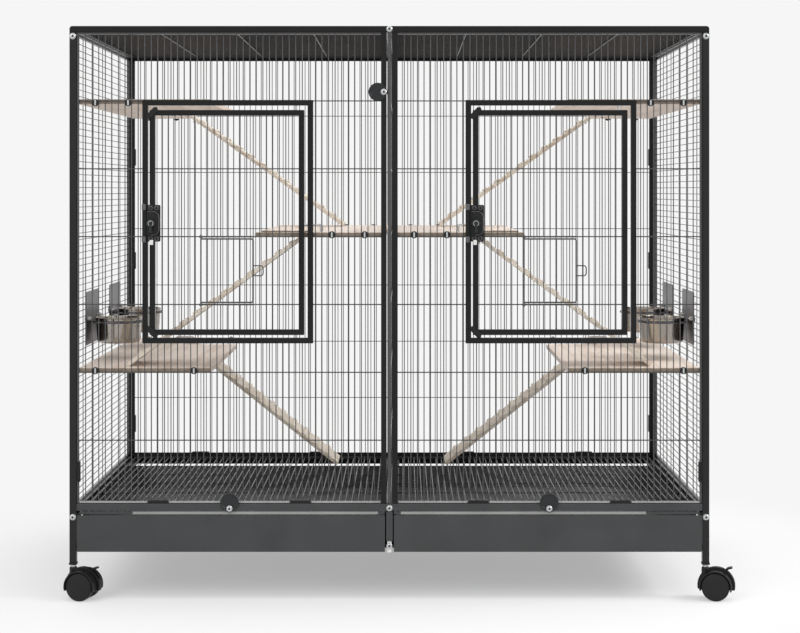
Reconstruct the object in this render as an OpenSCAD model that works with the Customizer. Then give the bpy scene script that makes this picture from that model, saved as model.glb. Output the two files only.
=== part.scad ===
/* [Overall size] */
// Width across the corner posts
cage_w = 1150; // [1140:1:1160]
// Depth across the corner posts
cage_d = 675; // [665:1:690]
// Height from the floor to the top of the roof rails
cage_h = 1030; // [1025:1:1045]

/* [Posts and rails] */
// Side of the square corner post
post_w = 12.5; // [12.2:0.1:13]
// Wall of the corner post tube
post_wall = 1.2; // [1:0.1:1.3]
// Height of the lower end of the posts above the floor
post_foot_z = 65.5; // [65:0.5:68]
// Height of the roof rails
roof_rail_h = 11; // [10.5:0.1:12]
// Radius of the rounded outer ends of the roof rails
roof_rail_round = 5; // [3:0.5:5]
// Width of the beam under the middle of the roof
roof_beam_w = 12.5; // [12:0.5:14]
// Height of the bottom of the back and side base rails
base_rail_z = 141; // [140:0.5:141.5]
// Height of the back and side base rails
base_rail_h = 20; // [19:0.5:21]
// Height of the bottom of the front base rail
front_rail_z = 157.5; // [157.5:0.1:158.5]
// Height of the front base rail
front_rail_h = 14; // [13.5:0.5:15]
// Width of the beam under the divider and of the post between the drawers
centre_beam_w = 12; // [11.5:0.1:12.5]
// Height of the low screws in the corner posts
low_screw_z = 147.5; // [147:0.5:150]
// Diameter of the head of a frame screw
screw_head_d = 11; // [10:0.2:11]
// Thickness of the head of a frame screw
screw_head_t = 3; // [2:0.2:4]
// Diameter of the shank of a frame screw
screw_d = 4.8; // [4:0.1:5]
// Length of the shank of a frame screw
screw_l = 9; // [7:0.5:9.5]

/* [Wire panels] */
// Diameter of the close-set wires
wire_d = 2.2; // [2:0.1:2.3]
// Diameter of the widely spaced cross wires
cross_d = 2.6; // [2.2:0.1:2.7]
// Number of gaps between upright wires in one bay
bay_gaps = 46; // [42:1:48]
// Number of gaps between the wires of a side panel
side_gaps = 71; // [65:1:75]
// Number of gaps between the wires of a roof panel
roof_gaps = 53; // [48:1:56]
// Height of the lowest cross wire
cross_z = 284.6; // [283:0.2:286]
// Spacing of the cross wires
cross_pitch = 122.2; // [121.8:0.1:122.6]
// Width of the thin border bars of a panel
border_w = 4; // [3.5:0.1:4.5]
// Depth of the thin border bars of a panel
border_t = 6; // [5.9:0.1:6.3]
// Width of the stiles beside the divider slot
stile_w = 10; // [9.5:0.1:10.5]
// Half of the divider slot between the stiles
slot_half = 5; // [4.6:0.1:5.2]
// Depth of the stiles and of the door bars
bar_t = 10; // [9.8:0.1:10.4]
// Distance of the upright wires behind the front face
wire_back = 5.9; // [5.7:0.1:6.1]

/* [Doors] */
// Width of the bars of a door and of its surround
bar_w = 10; // [9.5:0.1:10.5]
// Distance from the middle of the cage to the inner edge of a door surround
surround_in = 137; // [136:0.5:137.5]
// Distance from the middle of the cage to the outer edge of a door surround
surround_out = 444; // [443:0.5:446]
// Height of the bottom of the door surround
surround_z0 = 459.5; // [457:0.5:461]
// Height of the top of the door surround
surround_z1 = 897; // [895:0.5:899]
// Gap beside the latch edge of a door
latch_gap = 3; // [2.5:0.1:3.5]
// Gap beside the hinge edge of a door
hinge_gap = 6; // [5:0.5:7]
// Gap under a door
door_gap_low = 5; // [3:0.5:6]
// Gap over a door
door_gap_top = 8; // [6:0.5:9]
// Distance from the hinge edge of a door to its pins
hinge_inset = 15; // [13:0.5:15.5]
// Diameter of the hinge pins
hinge_pin_d = 4; // [3:0.1:4.4]
// Number of gaps between the wires of a door
door_gaps = 22; // [20:1:24]
// First wire beside the feeding hatch, counted from the latch edge
hatch_first = 7; // [6:1:8]
// Number of wire gaps that the feeding hatch covers
hatch_span = 8; // [7:1:9]
// Diameter of the rods of the feeding hatch
hatch_rod_d = 3; // [2.8:0.1:3.2]

/* [Latches and turn discs] */
// Height of the latch knob
latch_z = 675.5; // [674:0.5:690]
// Width of the latch body
latch_w = 24.5; // [23:0.5:26]
// Height of the latch body
latch_h = 66; // [62:1:70]
// Depth of the latch body
latch_t = 12; // [10:0.5:16]
// Diameter of the latch knob
knob_d = 15; // [13:0.5:16]
// Thickness of the latch knob
knob_t = 8; // [5:0.5:10]
// Diameter of the latch shaft
shaft_d = 5; // [4:0.1:5.4]
// Length of the latch cam
cam_l = 24; // [20:1:26]
// Width of the latch cam
cam_w = 8; // [7:0.5:9]
// Thickness of the latch cam
cam_t = 3; // [2:0.2:4]
// Width of the latch keeper
keeper_w = 7; // [5:0.5:7]
// Depth of the ears of the latch keeper
keeper_t = 7.5; // [5:0.5:9]
// Diameter of the turn discs
disc_d = 33; // [30:0.5:34]
// Thickness of the turn discs
disc_t = 4; // [3:0.5:5]
// Distance from the pivot of a turn disc to its centre
disc_offset = 11; // [10.8:0.1:11.5]
// Distance from the middle of the cage to the drawer discs
disc_x = 287; // [270:1:300]
// Distance from the pivot of the middle disc up to the roof rails
disc_drop = 107.7; // [90:0.1:112]

/* [Drawers and grates] */
// Height of the lower edge of a drawer front
drawer_z0 = 85; // [84:0.5:86]
// Height of the upper edge of a drawer front
drawer_z1 = 150.7; // [149.5:0.1:151]
// Thickness of the drawer sheet
drawer_wall = 1.2; // [1:0.1:1.4]
// Depth of the folded lip along the top of a drawer front
drawer_lip = 18; // [10:1:20]
// Distance from the middle of the cage to the inner end of the folded lip
lip_in = 20; // [15:1:30]
// Distance from the middle of the cage to the outer end of the folded lip
lip_out = 462; // [450:1:500]
// Height of the top edge of the tray sides
tray_z1 = 138.5; // [128:0.5:139.5]
// Height of the top of the drawer runners
runner_z = 91.4; // [90:0.2:93]
// Width of the drawer runner flanges
runner_w = 20; // [16:1:24]
// Height of a side runner with its web, which is turned down
runner_web = 6; // [4:0.2:6]
// Thickness of the runner sheet
runner_t = 1.4; // [1:0.1:1.8]
// Diameter of the wires of a floor grate
grate_d = 2.5; // [2.3:0.1:2.5]
// Number of gaps between the wires of a floor grate
grate_gaps = 46; // [42:1:48]
// Number of gaps between the cross wires of a floor grate
grate_rows = 6; // [4:1:9]
// Width of the ledges under the floor grates
ledge_w = 10; // [9:0.5:12]
// Thickness of the ledges
ledge_t = 1.5; // [1:0.1:1.6]

/* [Divider] */
// Thickness of the divider frame
divider_t = 5.4; // [5.2:0.1:5.8]
// Width of the divider frame bars
divider_bar = 8; // [6:0.5:10]
// Number of gaps between the upright wires of the divider
divider_gaps = 54; // [50:1:58]

/* [Shelves and ramps] */
// Thickness of a shelf
shelf_t = 9; // [8.8:0.1:10]
// Distance from the middle of the cage to the inner edge of a side shelf
side_shelf_in = 322; // [316:1:326]
// Distance from the middle of the cage to the outer edge of a side shelf
side_shelf_out = 561; // [558:0.5:562]
// Distance from the middle of the cage to the notch of a side shelf
side_notch_x = 430; // [427:1:436]
// Distance from the middle of the cage to the outer edge of a middle shelf
mid_shelf_out = 243; // [238:1:250]
// Distance from the middle of the cage to the notch of a middle shelf
mid_notch_x = 150; // [148:1:151]
// Depth of the shelf notches for the ramps
notch_d = 160; // [150:1:175]
// Distance from the front edge of a middle shelf to the notch behind its tongue
tongue_d = 20; // [18:1:22]
// Width of a ramp
ramp_w = 100; // [90:1:110]
// Length of a ramp
ramp_l = 400; // [395:1:405]
// Thickness of a ramp
ramp_t = 7; // [6:0.5:8]
// Distance from the front or back end of a shelf to the near edge of a ramp
ramp_inset = 30; // [26:1:36]
// Number of rungs on a ramp
rungs = 12; // [8:1:14]
// Height of a rung
rung_h = 3; // [2:0.5:4]
// Width of a rung
rung_w = 8; // [6:0.5:12]
// Diameter of the wire of a ramp hook
hook_d = 3; // [2.5:0.1:3.5]
// Height of a ramp hook above the shelf
hook_rise = 12; // [8:1:15]
// Distance from the edge of the shelf to the hook hole in the shelf
hook_reach = 24; // [20:1:30]
// Distance from the edge of the shelf to the hook hole in the ramp
hook_stand = 14; // [13:0.5:16]
// Distance of a ramp hook from the middle of the ramp
hook_side = 35; // [25:1:40]
// Diameter of the screws that hold the shelves
shelf_screw_d = 3; // [2.6:0.1:3.4]
// Length of the screws that hold the shelves
shelf_screw_l = 18; // [14:0.5:25]
// Diameter of the washers of the shelf screws
washer_d = 13; // [12.5:0.5:14]

/* [Bowls] */
// Diameter of a bowl across its rim
bowl_d = 89; // [84:1:90]
// Diameter of the bottom of a bowl
bowl_base_d = 80; // [76:1:83]
// Height of a bowl
bowl_h = 48; // [44:1:50]
// Wall of a bowl
bowl_wall = 1; // [0.8:0.1:1.5]
// Height of the rim of a bowl above the floor
bowl_rim_z = 493; // [485:1:500]
// Height of the bowl ring below the rim
ring_drop = 8; // [7:0.5:10]
// Diameter of the wire of the bowl ring
ring_wire_d = 4; // [3:0.2:4.4]
// Distance from the side wires to the middle of a bowl
bowl_inset = 51; // [50:0.5:56]
// Width of a bowl plate
plate_w = 136; // [124:1:140]
// Height of a bowl plate
plate_h = 100; // [90:1:110]
// Thickness of a bowl plate
plate_t = 1.5; // [1:0.1:2]
// Distance between the two arms of a bowl ring
arm_span = 76; // [70:1:80]
// Distance between the two bolts of a bowl plate
bolt_span = 108; // [100:1:112]
// Height of the bolts of the bowl plates
bolt_z = 494; // [480:1:505]
// Diameter of the bolts of the bowl plates
bolt_d = 4; // [3:0.1:5]
// Place of the middle of the front bowls along the depth
bowl_front_y = -139; // [-145:1:-132]
// Place of the middle of the back bowls along the depth
bowl_back_y = 123; // [116:1:130]

/* [Casters] */
// Diameter of a caster wheel
wheel_d = 50; // [49:0.5:51]
// Width of one caster wheel
wheel_w = 16; // [14:0.5:17]
// Distance from the caster stem to the axle
caster_trail = 19.5; // [19:0.5:22]
// Turn of the casters from the width of the cage, in degrees
caster_turn = -15; // [-30:1:0]
// Diameter of the caster stem
stem_d = 7; // [6:0.2:7.2]
// Radius of the middle of the caster hood
hood_r = 33.5; // [33:0.1:33.8]
// Radius of the fenders over the wheels
fender_r = 29; // [28.6:0.1:29.5]
// Diameter of the caster axle
axle_d = 6; // [5:0.2:6.4]
// Distance from the caster stem to the pin of the brake lever
brake_u = 36; // [35.5:0.1:36.5]
// Height of the pin of the brake lever
brake_z = 42; // [41.8:0.1:43]
// Diameter of the pin of the brake lever
brake_pin_d = 3; // [2.6:0.1:3.2]

/* [Hidden] */
$fn = 32;

// Fits: rest is a piece over its seat, run is a pin in its bore, free is a hole round a screw
rest_gap = 0.3;
run_gap = 0.06;
free_gap = 0.1;
seam = 0.2;
wire_gap = 0.05;
bite = 1;
recess = 0.15;
past = 1;

hx = cage_w / 2;
hy = cage_d / 2;
in_x = hx - post_w;
in_y = hy - post_w;
roof_z = cage_h - roof_rail_h;
floor_z = front_rail_z + front_rail_h;
back_z = base_rail_z + base_rail_h;
post_x = hx - post_w / 2;
post_y = hy - post_w / 2;
top_screw_z = roof_z - 7.4;
roof_screw_z = cage_h - screw_head_d / 2;
disc_low_z = front_rail_z + 6.1;
disc_top_z = roof_z - disc_drop;
bracket_screw_z = drawer_z0 + 10.5;
bracket_back = 2;
middle_disc_x = -slot_half - stile_w / 2;

// Wire planes are measured inwards from the front face, and the same way from the back face
cross_back = wire_back + wire_d / 2 + wire_gap + cross_d / 2;
border_front = bar_t - border_t;
panel_in = slot_half + stile_w;
panel_out = in_x - border_w;
bay_pitch = (panel_out - panel_in) / bay_gaps;
back_in = roof_beam_w / 2 + border_w;
back_pitch = (panel_out - back_in) / bay_gaps;
side_z0 = back_z + border_w;
side_z1 = roof_z - border_w;
side_pitch = (side_z1 - side_z0) / side_gaps;
side_half = in_y - border_w;
side_face = hx - border_t;
side_rods = 5;
cross_rows = 6;

// The same door stands in both surrounds, with its hinge on the right
open_in = surround_in + bar_w;
open_out = surround_out - bar_w;
door_w = open_out - open_in - latch_gap - hinge_gap;
door_z0 = surround_z0 + bar_w + door_gap_low;
door_z1 = surround_z1 - bar_w - door_gap_top;
left_door_x = -open_out + latch_gap;
right_door_x = open_in + latch_gap;
door_pitch = (door_w - 2 * bar_w) / door_gaps;
hatch_z0 = bar_z(2) + 4;
hatch_z1 = bar_z(3) - 4;
hatch_back = wire_back - wire_d / 2 - rest_gap - hatch_rod_d / 2;
hatch_rod_end = 4;
eye_h = 4;
eye_wall = 1.6;
latch_side = 4.5;
latch_face = 0.4;

// Wires of one front panel, sorted by the section that they stand in
bay_wires = [for (i = [1 : bay_gaps - 1]) panel_in + i * bay_pitch];
back_wires = [for (i = [1 : bay_gaps - 1]) back_in + i * back_pitch];
inner_wires = [for (x = bay_wires) if (x < surround_in - wire_d) x];
door_wires = [for (x = bay_wires) if (x > surround_in + wire_d && x < surround_out - wire_d) x];
outer_wires = [for (x = bay_wires) if (x > surround_out + wire_d) x];
wires_low = floor_z + border_w - bite;
wires_top = roof_z - border_w + bite;

// Channels that clip over the border bars of the panels
clip_l = 36;
clip_wall = 1.8;
clip_places = [160, 416];
clip_heights = [228, 582, 806];

// Shelves, their screws, and the lane between their ends and the ramps
shelf_y = hy - bar_t - rest_gap;
// The inner edge of a door, beyond its pins, swings back as far as this
door_sweep_y = -hy + bar_t / 2 + sqrt(pow(hinge_inset, 2) + pow(bar_t / 2, 2));
lane_y = shelf_y - ramp_inset - ramp_w / 2;
mid_shelf_in = roof_beam_w / 2 + rest_gap;
top_shelf_z = bar_z(5) - 5.8;
middle_shelf_z = bar_z(3) - 1.5;
lower_shelf_z = bar_z(1) - 1.5;
top_top = top_shelf_z + shelf_t;
middle_top = middle_shelf_z + shelf_t;
lower_top = lower_shelf_z + shelf_t;
screw_side = 3.4;
top_screws = [466, 526];
middle_screws = [44, 103];
lower_screws = [350, 526];
ramp_start = 1.5;
ramp_sink = 2;

// Grates lie on the ledges, with their cross wires below
ledge_z = front_rail_z - rest_gap - 2 * grate_d - wire_gap - free_gap;
grate_x0 = centre_beam_w / 2 + 2;
grate_x1 = in_x - ledge_w / 2;
grate_y0 = -hy + 1.5;
grate_y1 = in_y - 2;
grate_z0 = ledge_z + free_gap;
grate_z1 = grate_z0 + 2 * grate_d + wire_gap;
drawer_x0 = centre_beam_w / 2 + 2;
drawer_x1 = in_x - 1;

// Bowls hang in rings on plates just inside the side wires
bowl_x = side_face - bowl_inset;
ring_r = bowl_r(bowl_h - ring_drop) + ring_wire_d / 2 + 0.5;
ring_z = bowl_rim_z - ring_drop;
bolt_mid_z = mid_gap(bolt_z, side_z0, side_pitch);

// Casters
wheel_r = wheel_d / 2;
wheel_in = 6.8;
wheel_out = wheel_in + wheel_w;
hood_half = 5.5;
cavity_r = wheel_r + 1.4;
hood_cut_z = 18;
socket_z = post_foot_z - 4;
neck_z = socket_z - 3.5;

function bar_z(i) = cross_z + i * cross_pitch;
function bowl_r(h) = bowl_base_d / 2 + (bowl_d - bowl_base_d) / 2 * h / bowl_h;
function mid_gap(x, first, pitch) = first + pitch * (floor((x - first) / pitch) + 0.5);
function front_gap(x) = mid_gap(x, panel_in, bay_pitch);
function back_gap(x) = mid_gap(x, back_in, back_pitch);
function pin_x(x0) = x0 + door_w - hinge_inset;

// A box from one corner to the opposite corner
module block(a, b) {
    translate(a) cube(b - a);
}

// Round bars along X, Y and Z from a start point
module rod_x(p, l, d) {
    translate(p) rotate([0, 90, 0]) cylinder(d = d, h = l);
}
module rod_y(p, l, d) {
    translate(p) rotate([-90, 0, 0]) cylinder(d = d, h = l);
}
module rod_z(p, l, d) {
    translate(p) cylinder(d = d, h = l);
}

module both_sides() {
    children();
    mirror([1, 0, 0]) children();
}
module both_ends() {
    children();
    mirror([0, 1, 0]) children();
}
module four_corners() {
    both_sides() both_ends() children();
}

// Hole for a frame screw in the front face
module screw_hole(x, z) {
    rod_y([x, -hy - past, z], screw_l + 2 * past, screw_d + 2 * free_gap);
}

// Frame

module corner_post() {
    difference() {
        block([in_x, in_y, post_foot_z], [hx, hy, roof_z]);
        block([in_x + post_wall, in_y + post_wall, post_foot_z - past],
            [hx - post_wall, hy - post_wall, roof_z + past]);
        for (z = [low_screw_z, top_screw_z])
            rod_y([post_x, hy - post_wall - past, z], post_wall + 2 * past, screw_d + 2 * free_gap);
    }
}

module posts() {
    color([0.2, 0.2, 0.21]) {
        four_corners() corner_post();
        difference() {
            block([-roof_beam_w / 2, in_y, back_z], [roof_beam_w / 2, hy, roof_z]);
            block([-roof_beam_w / 2 + post_wall, in_y + post_wall, back_z - past],
                [roof_beam_w / 2 - post_wall, hy - post_wall, roof_z + past]);
        }
    }
}

// A roof rail across the width, with rounded outer ends
module wide_roof_rail() {
    block([-hx, in_y, roof_z], [hx, hy, cage_h - roof_rail_round]);
    block([-hx + roof_rail_round, in_y, roof_z], [hx - roof_rail_round, hy, cage_h]);
    both_sides()
        rod_y([hx - roof_rail_round, in_y, cage_h - roof_rail_round], post_w, 2 * roof_rail_round);
}

module roof_rails() {
    color([0.2, 0.2, 0.21]) {
        wide_roof_rail();
        difference() {
            mirror([0, 1, 0]) wide_roof_rail();
            screw_hole(0, roof_screw_z);
        }
        both_sides() block([in_x, -in_y, roof_z], [hx, in_y, cage_h]);
    }
}

module roof_centre_beam() {
    color([0.2, 0.2, 0.21])
        block([-roof_beam_w / 2, -in_y, roof_z], [roof_beam_w / 2, in_y, cage_h]);
}

module base_rails() {
    color([0.2, 0.2, 0.21]) {
        difference() {
            block([-in_x, -hy, front_rail_z], [in_x, -in_y, floor_z]);
            for (x = [-disc_x, 0, disc_x]) screw_hole(x, disc_low_z);
        }
        block([-in_x, in_y, base_rail_z], [in_x, hy, back_z]);
        both_sides() block([in_x, -in_y, base_rail_z], [hx, in_y, back_z]);
    }
}

module base_centre_beam() {
    color([0.2, 0.2, 0.21])
        block([-centre_beam_w / 2, -in_y, base_rail_z], [centre_beam_w / 2, in_y, floor_z]);
}

module grate_ledges() {
    ledge_y = -hy + drawer_lip + 10;
    color([0.22, 0.22, 0.23]) both_sides() {
        block([in_x - ledge_w, ledge_y, ledge_z - ledge_t], [in_x, in_y, ledge_z]);
        block([centre_beam_w / 2, ledge_y, ledge_z - ledge_t],
            [centre_beam_w / 2 + ledge_w, in_y, ledge_z]);
    }
}

// Angles on the posts under the drawers, and a tee under the middle beam
module drawer_runners() {
    web_half = 1;
    lap = 6;
    low = runner_z - runner_t;
    color([0.25, 0.25, 0.26]) {
        both_sides() {
            block([in_x - runner_w, -in_y - lap, low], [in_x, in_y + lap, runner_z]);
            block([in_x - runner_t, -in_y - lap, runner_z - runner_web], [in_x, in_y + lap, runner_z]);
        }
        block([-web_half, -in_y, low], [web_half, in_y, base_rail_z]);
        block([-runner_w, -in_y, low], [runner_w, in_y, runner_z]);
    }
}

// Post between the drawer fronts, over a pale bracket that carries the middle runner
module drawer_centre_post() {
    bracket_half = 4;
    split_z = runner_z + 12.6;
    color([0.2, 0.2, 0.21])
        block([-centre_beam_w / 2, -hy, split_z], [centre_beam_w / 2, -in_y, front_rail_z]);
    color([0.8, 0.8, 0.8]) difference() {
        block([-bracket_half, -hy + bracket_back, drawer_z0 - 1.5],
            [bracket_half, -in_y, split_z]);
        translate([0, bracket_back, 0]) screw_hole(0, bracket_screw_z);
    }
}

// Plastic plugs in the feet of the posts, with a bore for the caster stem
module leg_sockets() {
    collar_w = post_w + 1.5;
    plug_d = post_w - 2 * post_wall - 0.2;
    plug_top = 100;
    color([0.1, 0.1, 0.1]) four_corners() difference() {
        union() {
            block([post_x - collar_w / 2, post_y - collar_w / 2, socket_z],
                [post_x + collar_w / 2, post_y + collar_w / 2, post_foot_z]);
            rod_z([post_x, post_y, socket_z], plug_top - socket_z, plug_d);
        }
        rod_z([post_x, post_y, socket_z - past], plug_top, stem_d + 2 * run_gap);
    }
}

// A screw with a socket head. Its seat is a depth along Y, and the head is in front of it.
module frame_screw(x, z, seat) {
    socket_d = 5;
    translate([x, seat, z]) rotate([90, 0, 0]) {
        difference() {
            cylinder(d = screw_head_d, h = screw_head_t);
            translate([0, 0, screw_head_t * 0.6]) cylinder(d = socket_d, h = screw_head_t, $fn = 6);
        }
        translate([0, 0, -screw_l]) cylinder(d = screw_d, h = screw_l + screw_head_t / 4);
    }
}

// A screw that also carries a turn disc
module pivot_screw(x, z) {
    frame_screw(x, z, -hy - disc_t - 2 * rest_gap);
}

module frame_screws() {
    color([0.7, 0.7, 0.7]) {
        both_sides() for (z = [low_screw_z, top_screw_z]) both_ends() frame_screw(post_x, z, -hy);
        frame_screw(0, roof_screw_z, -hy);
        frame_screw(0, disc_low_z, -hy);
        frame_screw(0, bracket_screw_z, -hy + bracket_back);
        both_sides() pivot_screw(disc_x, disc_low_z);
        pivot_screw(middle_disc_x, disc_top_z);
    }
}

// Wire panels

module uprights(xs, z0, z1) {
    for (x = xs) rod_z([x, -hy + wire_back, z0], z1 - z0, wire_d);
}

module crosswires(x0, x1, rows) {
    for (i = rows) rod_x([x0, -hy + cross_back, bar_z(i)], x1 - x0, cross_d);
}

// Bars of a front panel, from one corner to the opposite one as seen from the front
module front_border(a, b) {
    block([a[0], -hy + border_front, a[1]], [b[0], -hy + bar_t, b[1]]);
}
module front_bar(a, b) {
    block([a[0], -hy, a[1]], [b[0], -hy + bar_t, b[1]]);
}

// Weld between an upright wire and a cross wire
module weld(x, z) {
    weld_d = 1.6;
    rod_y([x, -hy + wire_back, z], cross_back - wire_back, weld_d);
}

// Section of the front beside the divider, with the slot stile and one bar of the surround
module inner_section() {
    stile_in = panel_in - bite;
    front_bar([slot_half, floor_z], [panel_in, roof_z]);
    front_bar([surround_in, surround_z0], [open_in, surround_z1]);
    front_border([stile_in, floor_z], [surround_in - seam, floor_z + border_w]);
    front_border([stile_in, roof_z - border_w], [surround_in - seam, roof_z]);
    uprights(inner_wires, wires_low, wires_top);
    crosswires(stile_in, surround_in - seam, [0, 1]);
    crosswires(stile_in, surround_in + bite, [2 : cross_rows - 1]);
}

// Section of the front beside the corner post, with the other bar of the surround
module outer_section() {
    border_in = panel_out + bite;
    front_bar([open_out, surround_z0], [surround_out, surround_z1]);
    front_border([panel_out, floor_z], [in_x, roof_z]);
    front_border([surround_out + seam, floor_z], [border_in, floor_z + border_w]);
    front_border([surround_out + seam, roof_z - border_w], [border_in, roof_z]);
    uprights(outer_wires, wires_low, wires_top);
    crosswires(surround_out + seam, border_in, [0, 1]);
    crosswires(surround_out - bite, border_in, [2 : cross_rows - 1]);
}

// Wires over the ends of the surround's level bars stop short of its upright bars
function level_bar_end(x) = x > open_in && x < open_out ? bite : -seam;

module over_door_section() {
    front_bar([open_in + seam, surround_z1 - bar_w], [open_out - seam, surround_z1]);
    front_border([surround_in, roof_z - border_w], [surround_out, roof_z]);
    for (x = door_wires) uprights([x], surround_z1 - level_bar_end(x), wires_top);
}

module under_door_section() {
    front_bar([open_in + seam, surround_z0], [open_out - seam, surround_z0 + bar_w]);
    front_border([surround_in, floor_z], [surround_out, floor_z + border_w]);
    for (x = door_wires) uprights([x], wires_low, surround_z0 + level_bar_end(x));
    crosswires(surround_in, surround_out, [0, 1]);
    for (i = [0, 1])
        for (x = [door_wires[0], door_wires[len(door_wires) - 1]]) weld(x, bar_z(i));
}

// Blind bore for a door pin in a level bar of the surround
module pin_bore(x, z) {
    rod_z([x, -hy + bar_t / 2, z], bar_w, hinge_pin_d + 2 * run_gap);
}

// A front panel in four flat sections round the doorway, bored for the door pins
module front_panel(pin_at) {
    inner_section();
    outer_section();
    difference() {
        over_door_section();
        pin_bore(pin_at, surround_z1 - bar_w - past);
    }
    difference() {
        under_door_section();
        pin_bore(pin_at, surround_z0 + past);
    }
}

module left_front_panel() {
    color([0.24, 0.24, 0.25]) difference() {
        mirror([1, 0, 0]) front_panel(-pin_x(left_door_x));
        screw_hole(middle_disc_x, disc_top_z);
    }
}
module right_front_panel() {
    color([0.24, 0.24, 0.25]) front_panel(pin_x(right_door_x));
}

module back_panel() {
    mirror([0, 1, 0]) {
        front_border([back_in - border_w, back_z], [back_in, roof_z]);
        front_border([panel_out, back_z], [in_x, roof_z]);
        front_border([back_in - bite, back_z], [panel_out + bite, side_z0]);
        front_border([back_in - bite, side_z1], [panel_out + bite, roof_z]);
        uprights(back_wires, side_z0 - bite, side_z1 + bite);
        crosswires(back_in - bite, panel_out + bite, [0 : cross_rows - 1]);
    }
}
module left_back_panel() {
    color([0.24, 0.24, 0.25]) mirror([1, 0, 0]) back_panel();
}
module right_back_panel() {
    color([0.24, 0.24, 0.25]) back_panel();
}

// Wires run along the depth, and the few upright wires are outside them
module side_panel() {
    wire_x = side_face + recess + wire_d / 2;
    upright_x = wire_x + wire_d / 2 + wire_gap + cross_d / 2;
    upright_pitch = 2 * side_half / (side_rods + 1);
    both_ends() block([side_face, side_half, back_z], [hx, in_y, roof_z]);
    block([side_face, -side_half - bite, back_z], [hx, side_half + bite, side_z0]);
    block([side_face, -side_half - bite, side_z1], [hx, side_half + bite, roof_z]);
    for (i = [1 : side_gaps - 1])
        rod_y([wire_x, -side_half - bite, side_z0 + i * side_pitch], 2 * (side_half + bite), wire_d);
    for (i = [1 : side_rods])
        rod_z([upright_x, -side_half + i * upright_pitch, side_z0 - bite],
            side_z1 - side_z0 + 2 * bite, cross_d);
}
module left_side_panel() {
    color([0.24, 0.24, 0.25]) mirror([1, 0, 0]) side_panel();
}
module right_side_panel() {
    color([0.24, 0.24, 0.25]) side_panel();
}

// Wires run along the width, over a few wires along the depth
module roof_panel() {
    z0 = roof_z + (roof_rail_h - border_t) / 2;
    z1 = z0 + border_t;
    x0 = roof_beam_w / 2;
    wire_z = z1 - recess - wire_d / 2;
    under_z = wire_z - wire_d / 2 - wire_gap - cross_d / 2;
    pitch = 2 * side_half / roof_gaps;
    bays = 4;
    both_ends() block([x0, side_half, z0], [in_x, in_y, z1]);
    block([x0, -side_half - bite, z0], [back_in, side_half + bite, z1]);
    block([panel_out, -side_half - bite, z0], [in_x, side_half + bite, z1]);
    for (i = [1 : roof_gaps - 1])
        rod_x([back_in - bite, -side_half + i * pitch, wire_z], panel_out - back_in + 2 * bite, wire_d);
    for (i = [1 : bays - 1])
        rod_y([i * in_x / bays, -side_half - bite, under_z], 2 * (side_half + bite), cross_d);
}
module left_roof_panel() {
    color([0.24, 0.24, 0.25]) mirror([1, 0, 0]) roof_panel();
}
module right_roof_panel() {
    color([0.24, 0.24, 0.25]) roof_panel();
}

module flat_clip(x, z, wires) {
    difference() {
        block([x - clip_l / 2, -hy + border_front - clip_wall, z],
            [x + clip_l / 2, -hy + bar_t + clip_wall, z + border_w + clip_wall]);
        block([x - clip_l / 2 - past, -hy + border_front - recess, z - past],
            [x + clip_l / 2 + past, -hy + bar_t + recess, z + border_w + recess]);
        for (w = wires)
            if (abs(w - x) < clip_l / 2 + wire_d)
                rod_z([w, -hy + wire_back, z], border_w + 2 * clip_wall, wire_d + 2 * recess);
    }
}

module upright_clip(z) {
    difference() {
        block([panel_out - clip_wall, -hy + border_front - clip_wall, z - clip_l / 2],
            [in_x, -hy + bar_t + clip_wall, z + clip_l / 2]);
        block([panel_out - recess, -hy + border_front - recess, z - clip_l / 2 - past],
            [in_x + past, -hy + bar_t + recess, z + clip_l / 2 + past]);
    }
}

module panel_clips() {
    color([0.08, 0.08, 0.08]) both_sides() {
        for (x = clip_places) {
            flat_clip(x, floor_z, bay_wires);
            mirror([0, 1, 0]) flat_clip(x, back_z, back_wires);
        }
        upright_clip(clip_heights[0]);
        mirror([0, 1, 0]) for (z = clip_heights) upright_clip(z);
    }
}

// Shelves, each held by screws through the front and back wires

module shelf_screw(x, z) {
    head_d = 6;
    head_t = 1.5;
    washer_t = 1.2;
    seat = wire_back - wire_d / 2 - wire_gap;
    translate([x, -hy + seat, z]) rotate([90, 0, 0]) {
        cylinder(d = washer_d, h = washer_t);
        cylinder(d = head_d, h = washer_t + head_t);
        translate([0, 0, -shelf_screw_l]) cylinder(d = shelf_screw_d, h = shelf_screw_l + washer_t / 2);
    }
}

module screw_row(places, z) {
    both_sides() for (x = places) {
        shelf_screw(front_gap(x), z);
        mirror([0, 1, 0]) shelf_screw(back_gap(x), z);
    }
}

// Blind hole in the front end of a shelf
module shelf_hole(x, z) {
    rod_y([x, -hy, z], wire_back + shelf_screw_l, shelf_screw_d + 2 * free_gap);
}

module screw_row_holes(places, z) {
    for (x = places) {
        shelf_hole(front_gap(x), z);
        mirror([0, 1, 0]) shelf_hole(back_gap(x), z);
    }
}

module shelf_screws() {
    color([0.75, 0.75, 0.75]) {
        screw_row(top_screws, bar_z(5) - screw_side);
        screw_row(middle_screws, bar_z(3) + screw_side);
        screw_row(lower_screws, bar_z(1) + screw_side);
    }
}

// Holes for the two hooks of a ramp, in the shelf beyond its edge
module hook_holes(edge, side, y, z) {
    for (dy = [-hook_side, hook_side])
        rod_z([edge + side * hook_reach, y + dy, z - past], shelf_t + 2 * past, hook_d + 4 * free_gap);
}

module side_shelf(z, places, screw_z) {
    difference() {
        block([side_shelf_in, -shelf_y, z], [side_shelf_out, shelf_y, z + shelf_t]);
        block([side_shelf_in - past, shelf_y - notch_d, z - past],
            [side_notch_x, shelf_y + past, z + shelf_t + past]);
        screw_row_holes(places, screw_z);
        hook_holes(side_notch_x, 1, lane_y, z);
    }
}

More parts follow.
